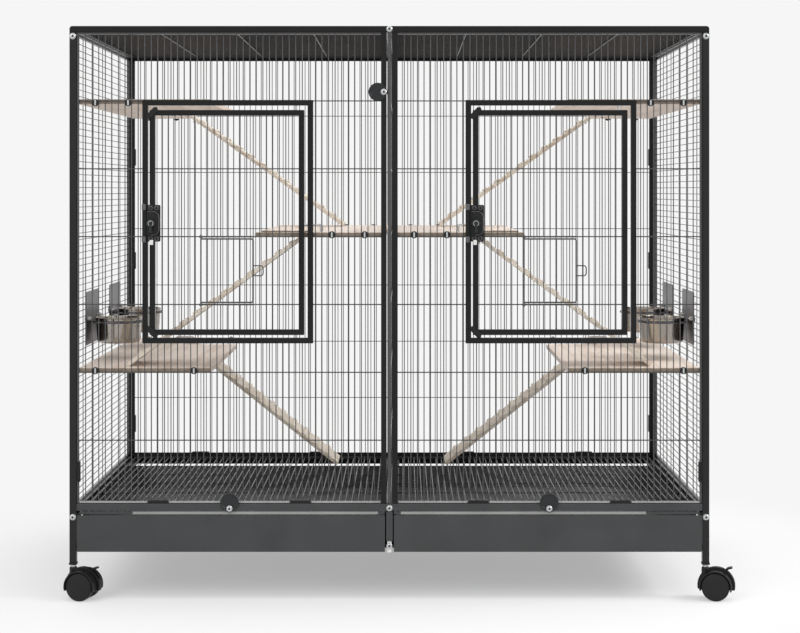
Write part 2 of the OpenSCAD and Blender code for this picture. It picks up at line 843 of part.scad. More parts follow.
module middle_shelf() {
    z = middle_shelf_z;
    difference() {
        block([mid_shelf_in, -shelf_y, z], [mid_shelf_out, shelf_y, z + shelf_t]);
        block([mid_notch_x, -shelf_y + tongue_d, z - past],
            [mid_shelf_out + past, -shelf_y + notch_d, z + shelf_t + past]);
        block([mid_notch_x, -shelf_y - past, z - past],
            [mid_shelf_out + past, door_sweep_y + rest_gap, z + shelf_t + past]);
        screw_row_holes(middle_screws, bar_z(3) + screw_side);
        hook_holes(mid_notch_x, -1, -lane_y, z);
    }
}

module top_shelves() {
    color([0.86, 0.72, 0.52])
        both_sides() side_shelf(top_shelf_z, top_screws, bar_z(5) - screw_side);
}
module middle_shelves() {
    color([0.86, 0.72, 0.52]) both_sides() middle_shelf();
}
module lower_shelves() {
    color([0.86, 0.72, 0.52])
        both_sides() side_shelf(lower_shelf_z, lower_screws, bar_z(1) + screw_side);
}

// A ramp leans from just below the top of a shelf to the level under its lower end.
// Its angle lets the far corner of the plank come down to the resting gap.
function ramp_angle(drop) = asin((drop - rest_gap) / norm([ramp_l, ramp_t])) - atan(ramp_t / ramp_l);

module ramp(edge, side, y, top_z, foot_z) {
    z = top_z - ramp_sink;
    a = ramp_angle(z - foot_z);
    start = ramp_start + ramp_t * sin(a);
    rung_pitch = ramp_l / (rungs + 1);
    difference() {
        translate([edge + side * start, y, z]) rotate([0, 0, side < 0 ? 180 : 0]) rotate([0, a, 0]) {
            block([0, -ramp_w / 2, -ramp_t], [ramp_l, ramp_w / 2, 0]);
            for (i = [1 : rungs])
                block([i * rung_pitch - rung_w / 2, -ramp_w / 2, -bite],
                    [i * rung_pitch + rung_w / 2, ramp_w / 2, rung_h]);
        }
        for (dy = [-hook_side, hook_side])
            rod_z([edge + side * hook_stand, y + dy, z - ramp_l / 8], ramp_l / 4, hook_d + 4 * free_gap);
    }
}

// Wire staple over the edge of a shelf, with one leg in the shelf and one in the ramp
module ramp_hook(edge, side, y, top_z) {
    rise = top_z + hook_rise;
    x_shelf = edge - side * hook_reach;
    x_ramp = edge + side * hook_stand;
    shelf_leg = hook_rise + shelf_t - 1;
    ramp_leg = hook_rise + 2 * ramp_t + 8;
    rod_z([x_shelf, y, rise - shelf_leg], shelf_leg, hook_d);
    rod_z([x_ramp, y, rise - ramp_leg], ramp_leg, hook_d);
    rod_x([min(x_shelf, x_ramp), y, rise], hook_reach + hook_stand, hook_d);
    for (x = [x_shelf, x_ramp]) translate([x, y, rise]) sphere(d = hook_d);
}

module upper_ramps() {
    color([0.84, 0.7, 0.5]) both_sides() ramp(side_notch_x, -1, lane_y, top_top, middle_top);
}
module middle_ramps() {
    color([0.84, 0.7, 0.5]) both_sides() ramp(mid_notch_x, 1, -lane_y, middle_top, lower_top);
}
module lower_ramps() {
    color([0.84, 0.7, 0.5]) both_sides() ramp(side_notch_x, -1, lane_y, lower_top, grate_z1);
}

module ramp_hooks() {
    color([0.7, 0.7, 0.72]) both_sides() for (dy = [-hook_side, hook_side]) {
        ramp_hook(side_notch_x, -1, lane_y + dy, top_top);
        ramp_hook(mid_notch_x, 1, -lane_y + dy, middle_top);
        ramp_hook(side_notch_x, -1, lane_y + dy, lower_top);
    }
}

// Bowls

module bowl_holder(y) {
    face_x = side_face - plate_t;
    plate_z = bolt_mid_z - plate_h / 2;
    reach = sqrt(pow(ring_r, 2) - pow(arm_span / 2, 2));
    arm_d = ring_wire_d * 0.85;
    difference() {
        union() {
            block([face_x, y - plate_w / 2, plate_z], [side_face, y + plate_w / 2, plate_z + plate_h]);
            translate([bowl_x, y, ring_z]) rotate_extrude($fn = 64)
                translate([ring_r, 0]) circle(d = ring_wire_d);
            for (dy = [-arm_span / 2, arm_span / 2])
                rod_x([bowl_x + reach, y + dy, ring_z], face_x + plate_t / 2 - bowl_x - reach, arm_d);
        }
        for (dy = [-bolt_span / 2, bolt_span / 2])
            rod_x([face_x - past, y + dy, bolt_mid_z], plate_t + 2 * past, bolt_d + 2 * free_gap);
    }
}

module bowl_holders() {
    color([0.6, 0.6, 0.62]) both_sides() {
        bowl_holder(bowl_front_y);
        bowl_holder(bowl_back_y);
    }
}

// Bolt from outside the wires, and a wing nut on the plate
module plate_bolt(y) {
    bolt_head_d = 8;
    bolt_head_t = 1.4;
    bolt_washer_t = 1;
    bolt_end = 2;
    nut_d = 8;
    nut_h = 6;
    wing_w = 22;
    wing_t = 2;
    wing_h = 7;
    outer_x = side_face + recess + wire_d + wire_gap;
    nut_x = side_face - plate_t;
    wing_x = nut_x - nut_h;
    rod_x([wing_x - bolt_end, y, bolt_mid_z], outer_x + bolt_washer_t / 2 - wing_x + bolt_end, bolt_d);
    rod_x([outer_x, y, bolt_mid_z], bolt_washer_t, washer_d);
    rod_x([outer_x + bolt_washer_t / 2, y, bolt_mid_z], bolt_washer_t / 2 + bolt_head_t, bolt_head_d);
    difference() {
        union() {
            rod_x([wing_x, y, bolt_mid_z], nut_h, nut_d);
            block([wing_x - wing_h / 2, y - wing_w / 2, bolt_mid_z - wing_t / 2],
                [wing_x + wing_h / 2, y + wing_w / 2, bolt_mid_z + wing_t / 2]);
        }
        rod_x([wing_x - wing_h, y, bolt_mid_z], nut_h + wing_h + past, bolt_d + 2 * run_gap);
    }
}

module wing_nuts() {
    color([0.75, 0.75, 0.75]) both_sides()
        for (y = [bowl_front_y, bowl_back_y])
            for (dy = [-bolt_span / 2, bolt_span / 2]) plate_bolt(y + dy);
}

module bowl(side, y) {
    color([0.72, 0.72, 0.72]) translate([side * bowl_x, y, bowl_rim_z - bowl_h])
        rotate_extrude($fn = 64) polygon([
            [0, 0],
            [bowl_r(0), 0],
            [bowl_r(bowl_h), bowl_h],
            [bowl_r(bowl_h) - bowl_wall, bowl_h],
            [bowl_r(0) - bowl_wall, bowl_wall],
            [0, bowl_wall]
        ]);
}
module left_front_bowl() {
    bowl(-1, bowl_front_y);
}
module left_back_bowl() {
    bowl(-1, bowl_back_y);
}
module right_front_bowl() {
    bowl(1, bowl_front_y);
}
module right_back_bowl() {
    bowl(1, bowl_back_y);
}

// Sliding pieces

module divider() {
    y0 = -hy + 1;
    y1 = in_y - 4;
    z0 = floor_z + rest_gap;
    z1 = roof_z - rest_gap;
    half = divider_t / 2;
    inset = 0.25;
    wire_x = -half + inset + wire_d / 2;
    level_x = half - inset - cross_d / 2;
    field_y = y0 + divider_bar;
    field_l = y1 - y0 - 2 * divider_bar;
    color([0.24, 0.24, 0.25]) {
        block([-half, y0, z0], [half, field_y, z1]);
        block([-half, y1 - divider_bar, z0], [half, y1, z1]);
        block([-half, field_y - bite, z0], [half, y1 - divider_bar + bite, z0 + divider_bar]);
        block([-half, field_y - bite, z1 - divider_bar], [half, y1 - divider_bar + bite, z1]);
        for (i = [1 : divider_gaps - 1])
            rod_z([wire_x, field_y + i * field_l / divider_gaps, z0 + divider_bar - bite],
                z1 - z0 - 2 * divider_bar + 2 * bite, wire_d);
        for (i = [0 : cross_rows - 1])
            rod_y([level_x, field_y - bite, bar_z(i)], field_l + 2 * bite, cross_d);
    }
}

module grate() {
    inner_x = grate_x0 + border_w;
    outer_x = grate_x1 - border_w;
    near_y = grate_y0 + border_w;
    far_y = grate_y1 - border_w;
    block([grate_x0, grate_y0, grate_z0], [inner_x, grate_y1, grate_z1]);
    block([outer_x, grate_y0, grate_z0], [grate_x1, grate_y1, grate_z1]);
    block([inner_x - bite, grate_y0, grate_z0], [outer_x + bite, near_y, grate_z1]);
    block([inner_x - bite, far_y, grate_z0], [outer_x + bite, grate_y1, grate_z1]);
    for (i = [1 : grate_gaps - 1])
        rod_y([inner_x + i * (outer_x - inner_x) / grate_gaps, near_y - bite, grate_z1 - grate_d / 2],
            far_y - near_y + 2 * bite, grate_d - wire_gap);
    for (i = [1 : grate_rows - 1])
        rod_x([inner_x - bite, near_y + i * (far_y - near_y) / grate_rows, grate_z0 + grate_d / 2],
            outer_x - inner_x + 2 * bite, grate_d - wire_gap);
}
module left_grate() {
    color([0.24, 0.24, 0.25]) mirror([1, 0, 0]) grate();
}
module right_grate() {
    color([0.24, 0.24, 0.25]) grate();
}

// Sheet drawer in flat plates: a tall front with a lip behind its top, and a shallower tray
module drawer() {
    x0 = drawer_x0 + 2;
    x1 = drawer_x1 - 4.5;
    y0 = -hy + drawer_wall + seam;
    y1 = in_y - 13;
    z0 = runner_z + rest_gap;
    z1 = z0 + drawer_wall + seam;
    block([drawer_x0, -hy, drawer_z0], [drawer_x1, -hy + drawer_wall, drawer_z1]);
    block([lip_in, y0, drawer_z1 - drawer_wall], [lip_out, -hy + drawer_lip, drawer_z1]);
    block([x0, y0, z0], [x1, y1, z0 + drawer_wall]);
    block([x0, y0, z1], [x0 + drawer_wall, y1, tray_z1]);
    block([x1 - drawer_wall, y0, z1], [x1, y1, tray_z1]);
    block([x0 + drawer_wall + seam, y1 - drawer_wall, z1], [x1 - drawer_wall - seam, y1, tray_z1]);
}
module left_drawer() {
    color([0.31, 0.31, 0.31]) mirror([1, 0, 0]) drawer();
}
module right_drawer() {
    color([0.31, 0.31, 0.31]) drawer();
}

// Doors with their feeding hatches

function door_wire(x0, i) = x0 + bar_w + i * door_pitch;
function in_hatch(i) = i > hatch_first && i < hatch_first + hatch_span;

module door(x0) {
    z0 = door_z0 + bar_w - bite;
    z1 = door_z1 - bar_w + bite;
    hinge_x = pin_x(x0);
    pin_y = -hy + bar_t / 2;
    eye_x = door_wire(x0, hatch_first);
    eye_y = -hy + hatch_back;
    color([0.22, 0.22, 0.23]) difference() {
        union() {
            for (x = [x0, x0 + door_w - bar_w]) front_bar([x, door_z0], [x + bar_w, door_z1]);
            for (z = [door_z0, door_z1 - bar_w]) front_bar([x0, z], [x0 + door_w, z + bar_w]);
            for (i = [1 : door_gaps - 1]) if (in_hatch(i)) {
                uprights([door_wire(x0, i)], z0, bar_z(2));
                uprights([door_wire(x0, i)], bar_z(3), z1);
            } else {
                uprights([door_wire(x0, i)], z0, z1);
            }
            crosswires(x0 + bar_w - bite, x0 + door_w - bar_w + bite, [2 : cross_rows - 2]);
            for (i = [2, 3]) {
                rod_x([eye_x, -hy + wire_back, bar_z(i)], hatch_span * door_pitch, hatch_rod_d);
                rod_z([eye_x, eye_y, bar_z(i) - eye_h / 2], eye_h, hatch_rod_d + 2 * eye_wall);
            }
            rod_z([hinge_x, pin_y, door_z1 - bite], surround_z1 - door_z1 - bite, hinge_pin_d);
            rod_z([hinge_x, pin_y, surround_z0 + 2 * past], door_z0 - surround_z0 - bite, hinge_pin_d);
        }
        rod_y([x0 + bar_w / 2, -hy - past, latch_z], bar_t + 2 * past, shaft_d + 2 * run_gap);
        for (i = [2, 3])
            rod_z([eye_x, eye_y, bar_z(i) - eye_h], 2 * eye_h, hatch_rod_d + 2 * run_gap);
    }
}
module left_door() {
    door(left_door_x);
}
module right_door() {
    door(right_door_x);
}

// Round bars of the hatch, at its own depth
module hatch_upright(x, z0, z1, d) {
    rod_z([x, -hy + hatch_back, z0], z1 - z0, d);
}
module hatch_level(x0, x1, z, d) {
    rod_x([x0, -hy + hatch_back, z], x1 - x0, d);
    translate([x1, -hy + hatch_back, z]) sphere(d = d);
}

module hatch(x0) {
    left = door_wire(x0, hatch_first);
    right = door_wire(x0, hatch_first + hatch_span);
    loop_w = 18;
    loop_z = (hatch_z0 + hatch_z1) / 2;
    color([0.26, 0.26, 0.27]) {
        hatch_upright(left, bar_z(2) - hatch_rod_end, bar_z(3) + hatch_rod_end, hatch_rod_d);
        hatch_upright(right, hatch_z0, hatch_z1, hatch_rod_d);
        for (z = [hatch_z0, hatch_z1]) hatch_level(left, right, z, hatch_rod_d);
        for (i = [hatch_first + 1 : hatch_first + hatch_span - 1])
            hatch_upright(door_wire(x0, i), hatch_z0, hatch_z1, wire_d);
        for (dz = [-loop_w / 2, loop_w / 2]) hatch_level(right, right + loop_w, loop_z + dz, wire_d);
        hatch_upright(right + loop_w, loop_z - loop_w / 2, loop_z + loop_w / 2, wire_d);
    }
}
module left_hatch() {
    hatch(left_door_x);
}
module right_hatch() {
    hatch(right_door_x);
}

// Latches

module cover_outline(w, h, r) {
    translate([0, -h / 2]) square([w - r, h]);
    translate([w - r - bite, r - h / 2]) square([r + bite, h - 2 * r]);
    for (y = [r - h / 2, h / 2 - r]) translate([w - r, y]) circle(r = r);
}

// Latch body: a thin bracket with a thicker cover, rounded on the side away from the keeper
module latch_body(x0) {
    bracket_t = 2;
    cover_h = 44;
    corner = 11;
    screw_up = 28;
    back = -hy - latch_face;
    left = x0 - latch_side;
    z0 = latch_z - latch_h / 2;
    difference() {
        union() {
            block([left, back - bracket_t, z0], [left + latch_w, back, z0 + latch_h]);
            translate([left + bite, back - bracket_t / 2, latch_z]) rotate([90, 0, 0])
                linear_extrude(latch_t - bracket_t / 2) cover_outline(latch_w - 2 * bite, cover_h, corner);
        }
        for (share = [0.3, 0.7])
            rod_y([left + share * latch_w, back - bracket_t - past, latch_z + screw_up],
                bracket_t + 2 * past, shelf_screw_d);
        rod_y([x0 + bar_w / 2, back - latch_t - past, latch_z], latch_t + 2 * past, shaft_d + 2 * run_gap);
    }
}
module left_latch_body() {
    color([0.12, 0.12, 0.12]) latch_body(left_door_x);
}
module right_latch_body() {
    color([0.12, 0.12, 0.12]) latch_body(right_door_x);
}

// Knob, shaft and cam turn as one piece. The cam stands up here, clear of the surround.
module latch_knob(x0) {
    x = x0 + bar_w / 2;
    grip_w = 4;
    grip_t = 3;
    knob_back = -hy - latch_face - latch_t - rest_gap;
    cam_y = -hy + bar_t + rest_gap;
    color([0.18, 0.18, 0.18]) {
        rod_y([x, knob_back - knob_t, latch_z], knob_t, knob_d);
        block([x - grip_w / 2, knob_back - knob_t - grip_t, latch_z - knob_d / 2 + bite],
            [x + grip_w / 2, knob_back - knob_t + bite, latch_z + knob_d / 2 - bite]);
        rod_y([x, knob_back - bite, latch_z], cam_y + cam_t - knob_back + bite, shaft_d);
        rod_y([x, cam_y, latch_z], cam_t, cam_w);
        block([x - cam_w / 2, cam_y, latch_z], [x + cam_w / 2, cam_y + cam_t, latch_z + cam_l]);
    }
}
module left_latch_knob() {
    latch_knob(left_door_x);
}
module right_latch_knob() {
    latch_knob(right_door_x);
}

// Plate with two ears on the surround, beside the latch body
module latch_keeper(x0) {
    ear_h = 11;
    sheet = 1.6;
    z0 = latch_z - latch_h / 2 - 1.5;
    z1 = latch_z + latch_h / 2 + 1.5;
    block([x0, -hy - sheet, z0], [x0 + keeper_w, -hy, z1]);
    for (z = [z0, z1 - ear_h])
        block([x0, -hy - keeper_t, z], [x0 + keeper_w, -hy - sheet / 2, z + ear_h]);
}
module latch_keepers() {
    color([0.45, 0.45, 0.46]) {
        latch_keeper(-surround_out);
        latch_keeper(surround_in);
    }
}

// A disc off centre on its screw, turned away from the slot or the drawer that it can hold shut
module turn_disc(x, z, angle) {
    color([0.18, 0.2, 0.2]) translate([x, -hy - rest_gap, z]) rotate([90, angle, 0]) difference() {
        translate([0, disc_offset, 0]) cylinder(d = disc_d, h = disc_t, $fn = 64);
        translate([0, 0, -past]) cylinder(d = screw_d + 2 * run_gap, h = disc_t + 2 * past);
    }
}
module left_turn_disc() {
    turn_disc(-disc_x, disc_low_z, 0);
}
module right_turn_disc() {
    turn_disc(disc_x, disc_low_z, 0);
}
module middle_turn_disc() {
    turn_disc(middle_disc_x, disc_top_z, -90);
}

// Casters, drawn with the stem on the Z axis and the axle along Y

// Stem place and heading of one caster, for its corner of the cage
module at_caster(sx, sy) {
    translate([sx * post_x, sy * post_y, 0]) rotate([0, 0, caster_turn + (sy > 0 ? 180 : 0)]) children();
}

// Disc round the axle
module axle_disc(r, half) {
    translate([caster_trail, half, wheel_r]) rotate([90, 0, 0]) cylinder(r = r, h = 2 * half, $fn = 64);
}

module hood_slot_block(half) {
    block([brake_u - 5, -half, brake_z - 4.5], [brake_u + 25, half, neck_z + 5]);
}

module caster(brake) {
    neck_d = 14;
    neck_l = 24;
    stem_top = 95;
    slot_side = 3.2;
    difference() {
        union() {
            difference() {
                union() {
                    axle_disc(fender_r, wheel_out - 0.8);
                    rod_z([0, 0, neck_z - neck_l], neck_l, neck_d);
                }
                difference() {
                    axle_disc(cavity_r, wheel_out + past);
                    axle_disc(cavity_r + past, hood_half);
                }
            }
            axle_disc(hood_r, hood_half);
            rod_z([0, 0, neck_z - bite], stem_top - neck_z, stem_d);
        }
        axle_disc(axle_d / 2 + run_gap, hood_half + past);
        block([-2 * hood_r, -2 * wheel_out, -hood_r], [3 * hood_r, 2 * wheel_out, hood_cut_z]);
        if (brake) hood_slot_block(slot_side);
    }
    if (brake) rod_y([brake_u, -slot_side - bite, brake_z], 2 * slot_side + 2 * bite, brake_pin_d);
}

module wheels() {
    hub_d = 20;
    rim_d = 34;
    dish = 3;
    for (s = [-1, 1]) difference() {
        translate([caster_trail, s * (wheel_in + wheel_w / 2), wheel_r]) rotate([90, 0, 0])
            cylinder(d = wheel_d, h = wheel_w, center = true, $fn = 64);
        translate([caster_trail, s * wheel_out, wheel_r]) rotate([90, 0, 0]) difference() {
            cylinder(d = rim_d, h = 2 * dish, center = true);
            cylinder(d = hub_d, h = 3 * dish, center = true);
        }
    }
    axle_disc(axle_d / 2, wheel_out - bite);
}

// Brake lever with its pedal over the hood
module brake_lever() {
    half = 2.9;
    barrel_d = 6;
    arm_h = 14;
    pedal_half = 6;
    pedal_t = 3.5;
    difference() {
        union() {
            rod_y([brake_u, -half, brake_z], 2 * half, barrel_d);
            block([brake_u - 2, -half, brake_z], [brake_u + 3, half, brake_z + arm_h + bite]);
            block([brake_u - 3, -pedal_half, brake_z + arm_h],
                [brake_u + 12, pedal_half, brake_z + arm_h + pedal_t]);
        }
        rod_y([brake_u, -half - past, brake_z], 2 * half + 2 * past, brake_pin_d + 2 * run_gap);
    }
}

module front_left_caster() {
    color([0.1, 0.1, 0.1]) at_caster(-1, -1) caster(true);
}
module front_right_caster() {
    color([0.1, 0.1, 0.1]) at_caster(1, -1) caster(true);
}
module back_left_caster() {
    color([0.1, 0.1, 0.1]) at_caster(-1, 1) caster(false);
}
module back_right_caster() {
    color([0.1, 0.1, 0.1]) at_caster(1, 1) caster(false);
}
module front_left_wheels() {
    color([0.15, 0.15, 0.15]) at_caster(-1, -1) wheels();
}
module front_right_wheels() {
    color([0.15, 0.15, 0.15]) at_caster(1, -1) wheels();
}
module back_left_wheels() {
    color([0.15, 0.15, 0.15]) at_caster(-1, 1) wheels();
}
module back_right_wheels() {
    color([0.15, 0.15, 0.15]) at_caster(1, 1) wheels();
}
module front_left_brake() {
    color([0.1, 0.1, 0.1]) at_caster(-1, -1) brake_lever();
}
module front_right_brake() {
    color([0.1, 0.1, 0.1]) at_caster(1, -1) brake_lever();
}

posts();
roof_rails();
roof_centre_beam();
left_roof_panel();
right_roof_panel();
base_rails();
base_centre_beam();
grate_ledges();
drawer_runners();
drawer_centre_post();
left_front_panel();
right_front_panel();
left_back_panel();
right_back_panel();
left_side_panel();
right_side_panel();
leg_sockets();
panel_clips();
frame_screws();
shelf_screws();
latch_keepers();
top_shelves();
middle_shelves();
lower_shelves();
upper_ramps();
middle_ramps();
lower_ramps();
ramp_hooks();
bowl_holders();
wing_nuts();
divider();
left_grate();
right_grate();
left_drawer();
right_drawer();
left_door();
right_door();
left_hatch();
right_hatch();
left_latch_body();
right_latch_body();
left_latch_knob();
right_latch_knob();
left_turn_disc();
right_turn_disc();
middle_turn_disc();
left_front_bowl();
left_back_bowl();
right_front_bowl();
right_back_bowl();
front_left_caster();
front_right_caster();
back_left_caster();
back_right_caster();
front_left_wheels();
front_right_wheels();
back_left_wheels();
back_right_wheels();
front_left_brake();
front_right_brake();
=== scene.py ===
import math

import bpy
import numpy as np
from mathutils import Matrix, Vector


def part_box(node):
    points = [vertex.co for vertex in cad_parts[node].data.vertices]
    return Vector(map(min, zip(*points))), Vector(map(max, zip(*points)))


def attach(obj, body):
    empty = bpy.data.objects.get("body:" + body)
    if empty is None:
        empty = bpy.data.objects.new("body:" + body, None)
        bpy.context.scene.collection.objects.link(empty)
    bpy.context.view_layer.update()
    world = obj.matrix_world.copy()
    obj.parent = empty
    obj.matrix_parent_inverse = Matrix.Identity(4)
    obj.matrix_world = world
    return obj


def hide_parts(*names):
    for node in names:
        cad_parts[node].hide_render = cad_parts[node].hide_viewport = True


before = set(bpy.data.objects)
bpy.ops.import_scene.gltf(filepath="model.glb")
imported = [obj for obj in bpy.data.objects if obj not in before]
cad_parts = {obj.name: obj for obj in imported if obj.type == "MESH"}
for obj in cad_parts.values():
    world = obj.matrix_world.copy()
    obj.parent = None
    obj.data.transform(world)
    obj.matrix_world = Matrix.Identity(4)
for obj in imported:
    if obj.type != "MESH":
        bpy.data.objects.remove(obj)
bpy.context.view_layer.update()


# Sizes, in millimetres

def box(node):
    low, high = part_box(node)
    return low * 1000, high * 1000


post_low, post_high = box("posts")
hx, hy, foot_z, roof_z = post_high.x, post_high.y, post_low.z, post_high.z
top_z = box("roof_rails")[1].z
floor_z = box("base_rails")[1].z
front_rail_z = floor_z - 14
base_z = box("base_rails")[0].z
back_z = box("left_back_panel")[0].z
post = 12.5
in_x, in_y = hx - post, hy - post
post_x, post_y = hx - post / 2, hy - post / 2
beam_half = box("roof_centre_beam")[1].x

wire = 2.2
drawn_wire = 1.8  # As thin as the photograph has them, like the next one and drawn_cross
rear_wire = 1.6
cross = 2.6
drawn_cross = 2.2
grate_wire = 2.5
bar = 10
border = 4
border_depth = 6
wire_back = 5.9  # From the front face to the middle of the upright wires
cross_back = wire_back + wire / 2 + cross / 2
slot_half = box("right_front_panel")[0].x
panel_in = slot_half + bar
panel_out = in_x - border
bay_gaps = 46
side_gaps = 71
roof_gaps = 53
roof_bays = 4
divider_gaps = 54
grate_gaps = 46
grate_rows = 6
side_rods = 5
levels = [284.6 + 122.2 * i for i in range(6)]  # Heights of the cross wires

surround_in, surround_out = 137, 444
surround_low, surround_high = 459.5, 897
door_low, door_high = box("left_door")
door_z0, door_z1 = surround_low + bar + 5, surround_high - bar - 8
door_width = door_high.x - door_low.x
door_lefts = {"left": door_low.x, "right": box("right_door")[0].x}
door_gaps = 22
door_pitch = (door_width - 2 * bar) / door_gaps
hatch_first, hatch_span = 7, 8  # In door wires
hatch_wire = 3
hatch_pivot = 2.7
hatch_back = 3.0
latch_z = 675.5
latch_half = 33
lip_in, lip_out = 20, 462  # Of the drawers' lip and of the pale strip on the grates, painted as the highlight along the lip
ledge_width = 10
runner_top = box("drawer_runners")[0].z + 6
screw_low, screw_high = 147.5, roof_z - 7.4
disc_pivots = {
    "left_turn_disc": (-287, 163.6),
    "right_turn_disc": (287, 163.6),
    "middle_turn_disc": (-10, 911.3),
}
tray_top = 138.5


# Mesh building, in millimetres

def lattice(steps):
    """Corner directions and quads of a rounded box, as a shell of lattice points."""
    bend = [-math.tan(math.radians(45 * (steps - i) / steps)) for i in range(steps + 1)]
    bend += [-b for b in reversed(bend)]
    last = len(bend) - 1
    index, sides, turns, quads = {}, [], [], []

    def point(key):
        if key not in index:
            index[key] = len(sides)
            sides.append([-1 if i <= steps else 1 for i in key])
            turn = np.array([bend[i] for i in key])
            turns.append(turn / np.linalg.norm(turn))
        return index[key]

    for axis in range(3):
        u, v = (axis + 1) % 3, (axis + 2) % 3
        for end in (0, last):
            for i in range(last):
                for j in range(last):
                    corners = []
                    for a, b in ((i, j), (i + 1, j), (i + 1, j + 1), (i, j + 1)):
                        key = [0, 0, 0]
                        key[axis], key[u], key[v] = end, a, b
                        corners.append(point(tuple(key)))
                    quads.append(corners if end else corners[::-1])
    return np.array(sides, float), np.array(turns), quads


ROUND_BOX = lattice(2)


def frame_along(direction):
    """Two directions square to the given one."""
    w = np.array(direction, float)
    w /= np.linalg.norm(w)
    helper = np.array([0, 0, 1.0]) if abs(w[2]) < 0.9 else np.array([1.0, 0, 0])
    u = np.cross(helper, w)
    u /= np.linalg.norm(u)
    return u, np.cross(w, u), w


def new_object(name, data):
    made = bpy.data.objects.new(name, data)
    bpy.context.scene.collection.objects.link(made)
    return made


class Shape:
    """Gathers parts in millimetres and makes one object of them in metres."""

    def __init__(self, material):
        self.points, self.faces, self.paints, self.smooth = [], [], [], []
        self.count = 0
        self.materials = []
        self.place = Matrix.Identity(4)
        self.use(material)

    def use(self, material):
        if material not in self.materials:
            self.materials.append(material)
        self.paint = self.materials.index(material)

    def add(self, points, faces):
        points = np.asarray(points, float)
        m = np.array(self.place)
        points = points @ m[:3, :3].T + m[:3, 3]
        turned = self.place.determinant() < 0
        for face in faces:
            ids = [i + self.count for i in face]
            self.faces.append(ids[::-1] if turned else ids)
        self.paints += [self.paint] * len(faces)
        self.points.append(points)
        self.count += len(points)

    def bar(self, low, high, edge=0.8):
        """A box with rounded edges."""
        low, high = np.minimum(low, high), np.maximum(low, high)
        edge = min(edge, 0.49 * float((high - low).min()))
        half = (high - low) / 2
        sides, turns, quads = ROUND_BOX
        self.add((low + high) / 2 + sides * (half - edge) + turns * edge, quads)

    def turned(self, start, axis, profile, sides=40):
        """A solid of revolution; the profile is (radius, height) pairs from the start along the axis."""
        u, v, w = frame_along(axis)
        angles = np.arange(sides) * 2 * math.pi / sides
        ring = np.outer(np.cos(angles), u) + np.outer(np.sin(angles), v)
        points, rows = [], []
        for radius, height in profile:
            middle = np.array(start, float) + w * height
            if radius < 1e-6:
                rows.append([len(points)] * sides)
                points.append(middle)
            else:
                rows.append(list(range(len(points), len(points) + sides)))
                points.extend(middle + ring * radius)
        faces = []
        for low, high in zip(rows, rows[1:]):
            for i in range(sides):
                j = (i + 1) % sides
                corners = [low[i], low[j], high[j], high[i]]
                face = [c for k, c in enumerate(corners) if c not in corners[:k]]
                if len(face) > 2:
                    faces.append(face)
        self.add(points, faces)

    def rod(self, start, end, width, sides=10, edge=0.0):
        """A round bar, with flat ends or rounded rims."""
        start, end = np.array(start, float), np.array(end, float)
        length, r, k = float(np.linalg.norm(end - start)), width / 2, 0.3 * edge
        rim = [(r - edge, 0), (r - k, k), (r, edge)] if edge else [(r, 0)]
        profile = [(0, 0)] + rim + [(radius, length - height) for radius, height in rim[::-1]] + [(0, length)]
        self.turned(start, end - start, profile, sides)

    def pipe(self, path, width, closed=False, sides=10):
        """A round wire along a path of points."""
        path = [np.array(p, float) for p in path]
        n = len(path)
        points, faces = [], []
        u = None
        for i, p in enumerate(path):
            before = path[i - 1] if i or closed else p
            after = path[(i + 1) % n] if i < n - 1 or closed else p
            w = (after - before) / np.linalg.norm(after - before)
            u = frame_along(w)[0] if u is None else u - w * float(u @ w)
            u = u / np.linalg.norm(u)
            v = np.cross(w, u)
            for a in range(sides):
                t = 2 * math.pi * a / sides
                points.append(p + (u * math.cos(t) + v * math.sin(t)) * width / 2)
        for i in range(n if closed else n - 1):
            a, b = i * sides, (i + 1) % n * sides
            faces += [[a + j, a + (j + 1) % sides, b + (j + 1) % sides, b + j] for j in range(sides)]
        if not closed:
            faces += [list(range(sides))[::-1], list(range((n - 1) * sides, n * sides))]
        self.add(points, faces)

    def prism(self, outline, z0, z1, edge=0.8):
        """An outline in the local XY plane, counter-clockwise, extruded from z0 to z1 with rounded rims."""
        outline = [np.array(p, float) for p in outline]
        n = len(outline)
        inward = []
        for i, p in enumerate(outline):
            a, b = p - outline[i - 1], outline[(i + 1) % n] - p
            na = np.array([-a[1], a[0]]) / np.linalg.norm(a)
            nb = np.array([-b[1], b[0]]) / np.linalg.norm(b)
            inward.append((na + nb) / max(0.4, 1 + float(na @ nb)))
        k = 0.3 * edge
        rows = [(z0, edge), (z0 + k, k), (z0 + edge, 0), (z1 - edge, 0), (z1 - k, k), (z1, edge)]
        if edge <= 0:
            rows = [(z0, 0), (z1, 0)]
        points = [(*(p + d * inset), z) for z, inset in rows for p, d in zip(outline, inward)]
        faces = [list(range(n))[::-1], list(range((len(rows) - 1) * n, len(rows) * n))]
        for a in range(0, (len(rows) - 1) * n, n):
            faces += [[a + i, a + (i + 1) % n, a + n + (i + 1) % n, a + n + i] for i in range(n)]
        self.add(points, faces)

    def piece(self, name, body, slot, *nodes):
        """Makes the object. It rides on the body and stands for the CAD nodes."""
        mesh = bpy.data.meshes.new(name)
        mesh.from_pydata((np.concatenate(self.points) * 0.001).tolist(), [], self.faces)
        for material in self.materials:
            mesh.materials.append(material)
        mesh.polygons.foreach_set("material_index", self.paints)
        mesh.polygons.foreach_set("use_smooth", [True] * len(self.faces))
        mesh.update()
        mesh.set_sharp_from_angle(angle=math.radians(42))
        made = new_object(name, mesh)
        normals = made.modifiers.new("even shading", "WEIGHTED_NORMAL")
        normals.keep_sharp = True
        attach(made, body)
        if nodes:
            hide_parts(*nodes)
        return made


UP = (0, 0, 1)
HERE = Matrix.Identity(4)
MIRROR_X = Matrix.Scale(-1, 4, (1, 0, 0))
MIRROR_Y = Matrix.Scale(-1, 4, (0, 1, 0))
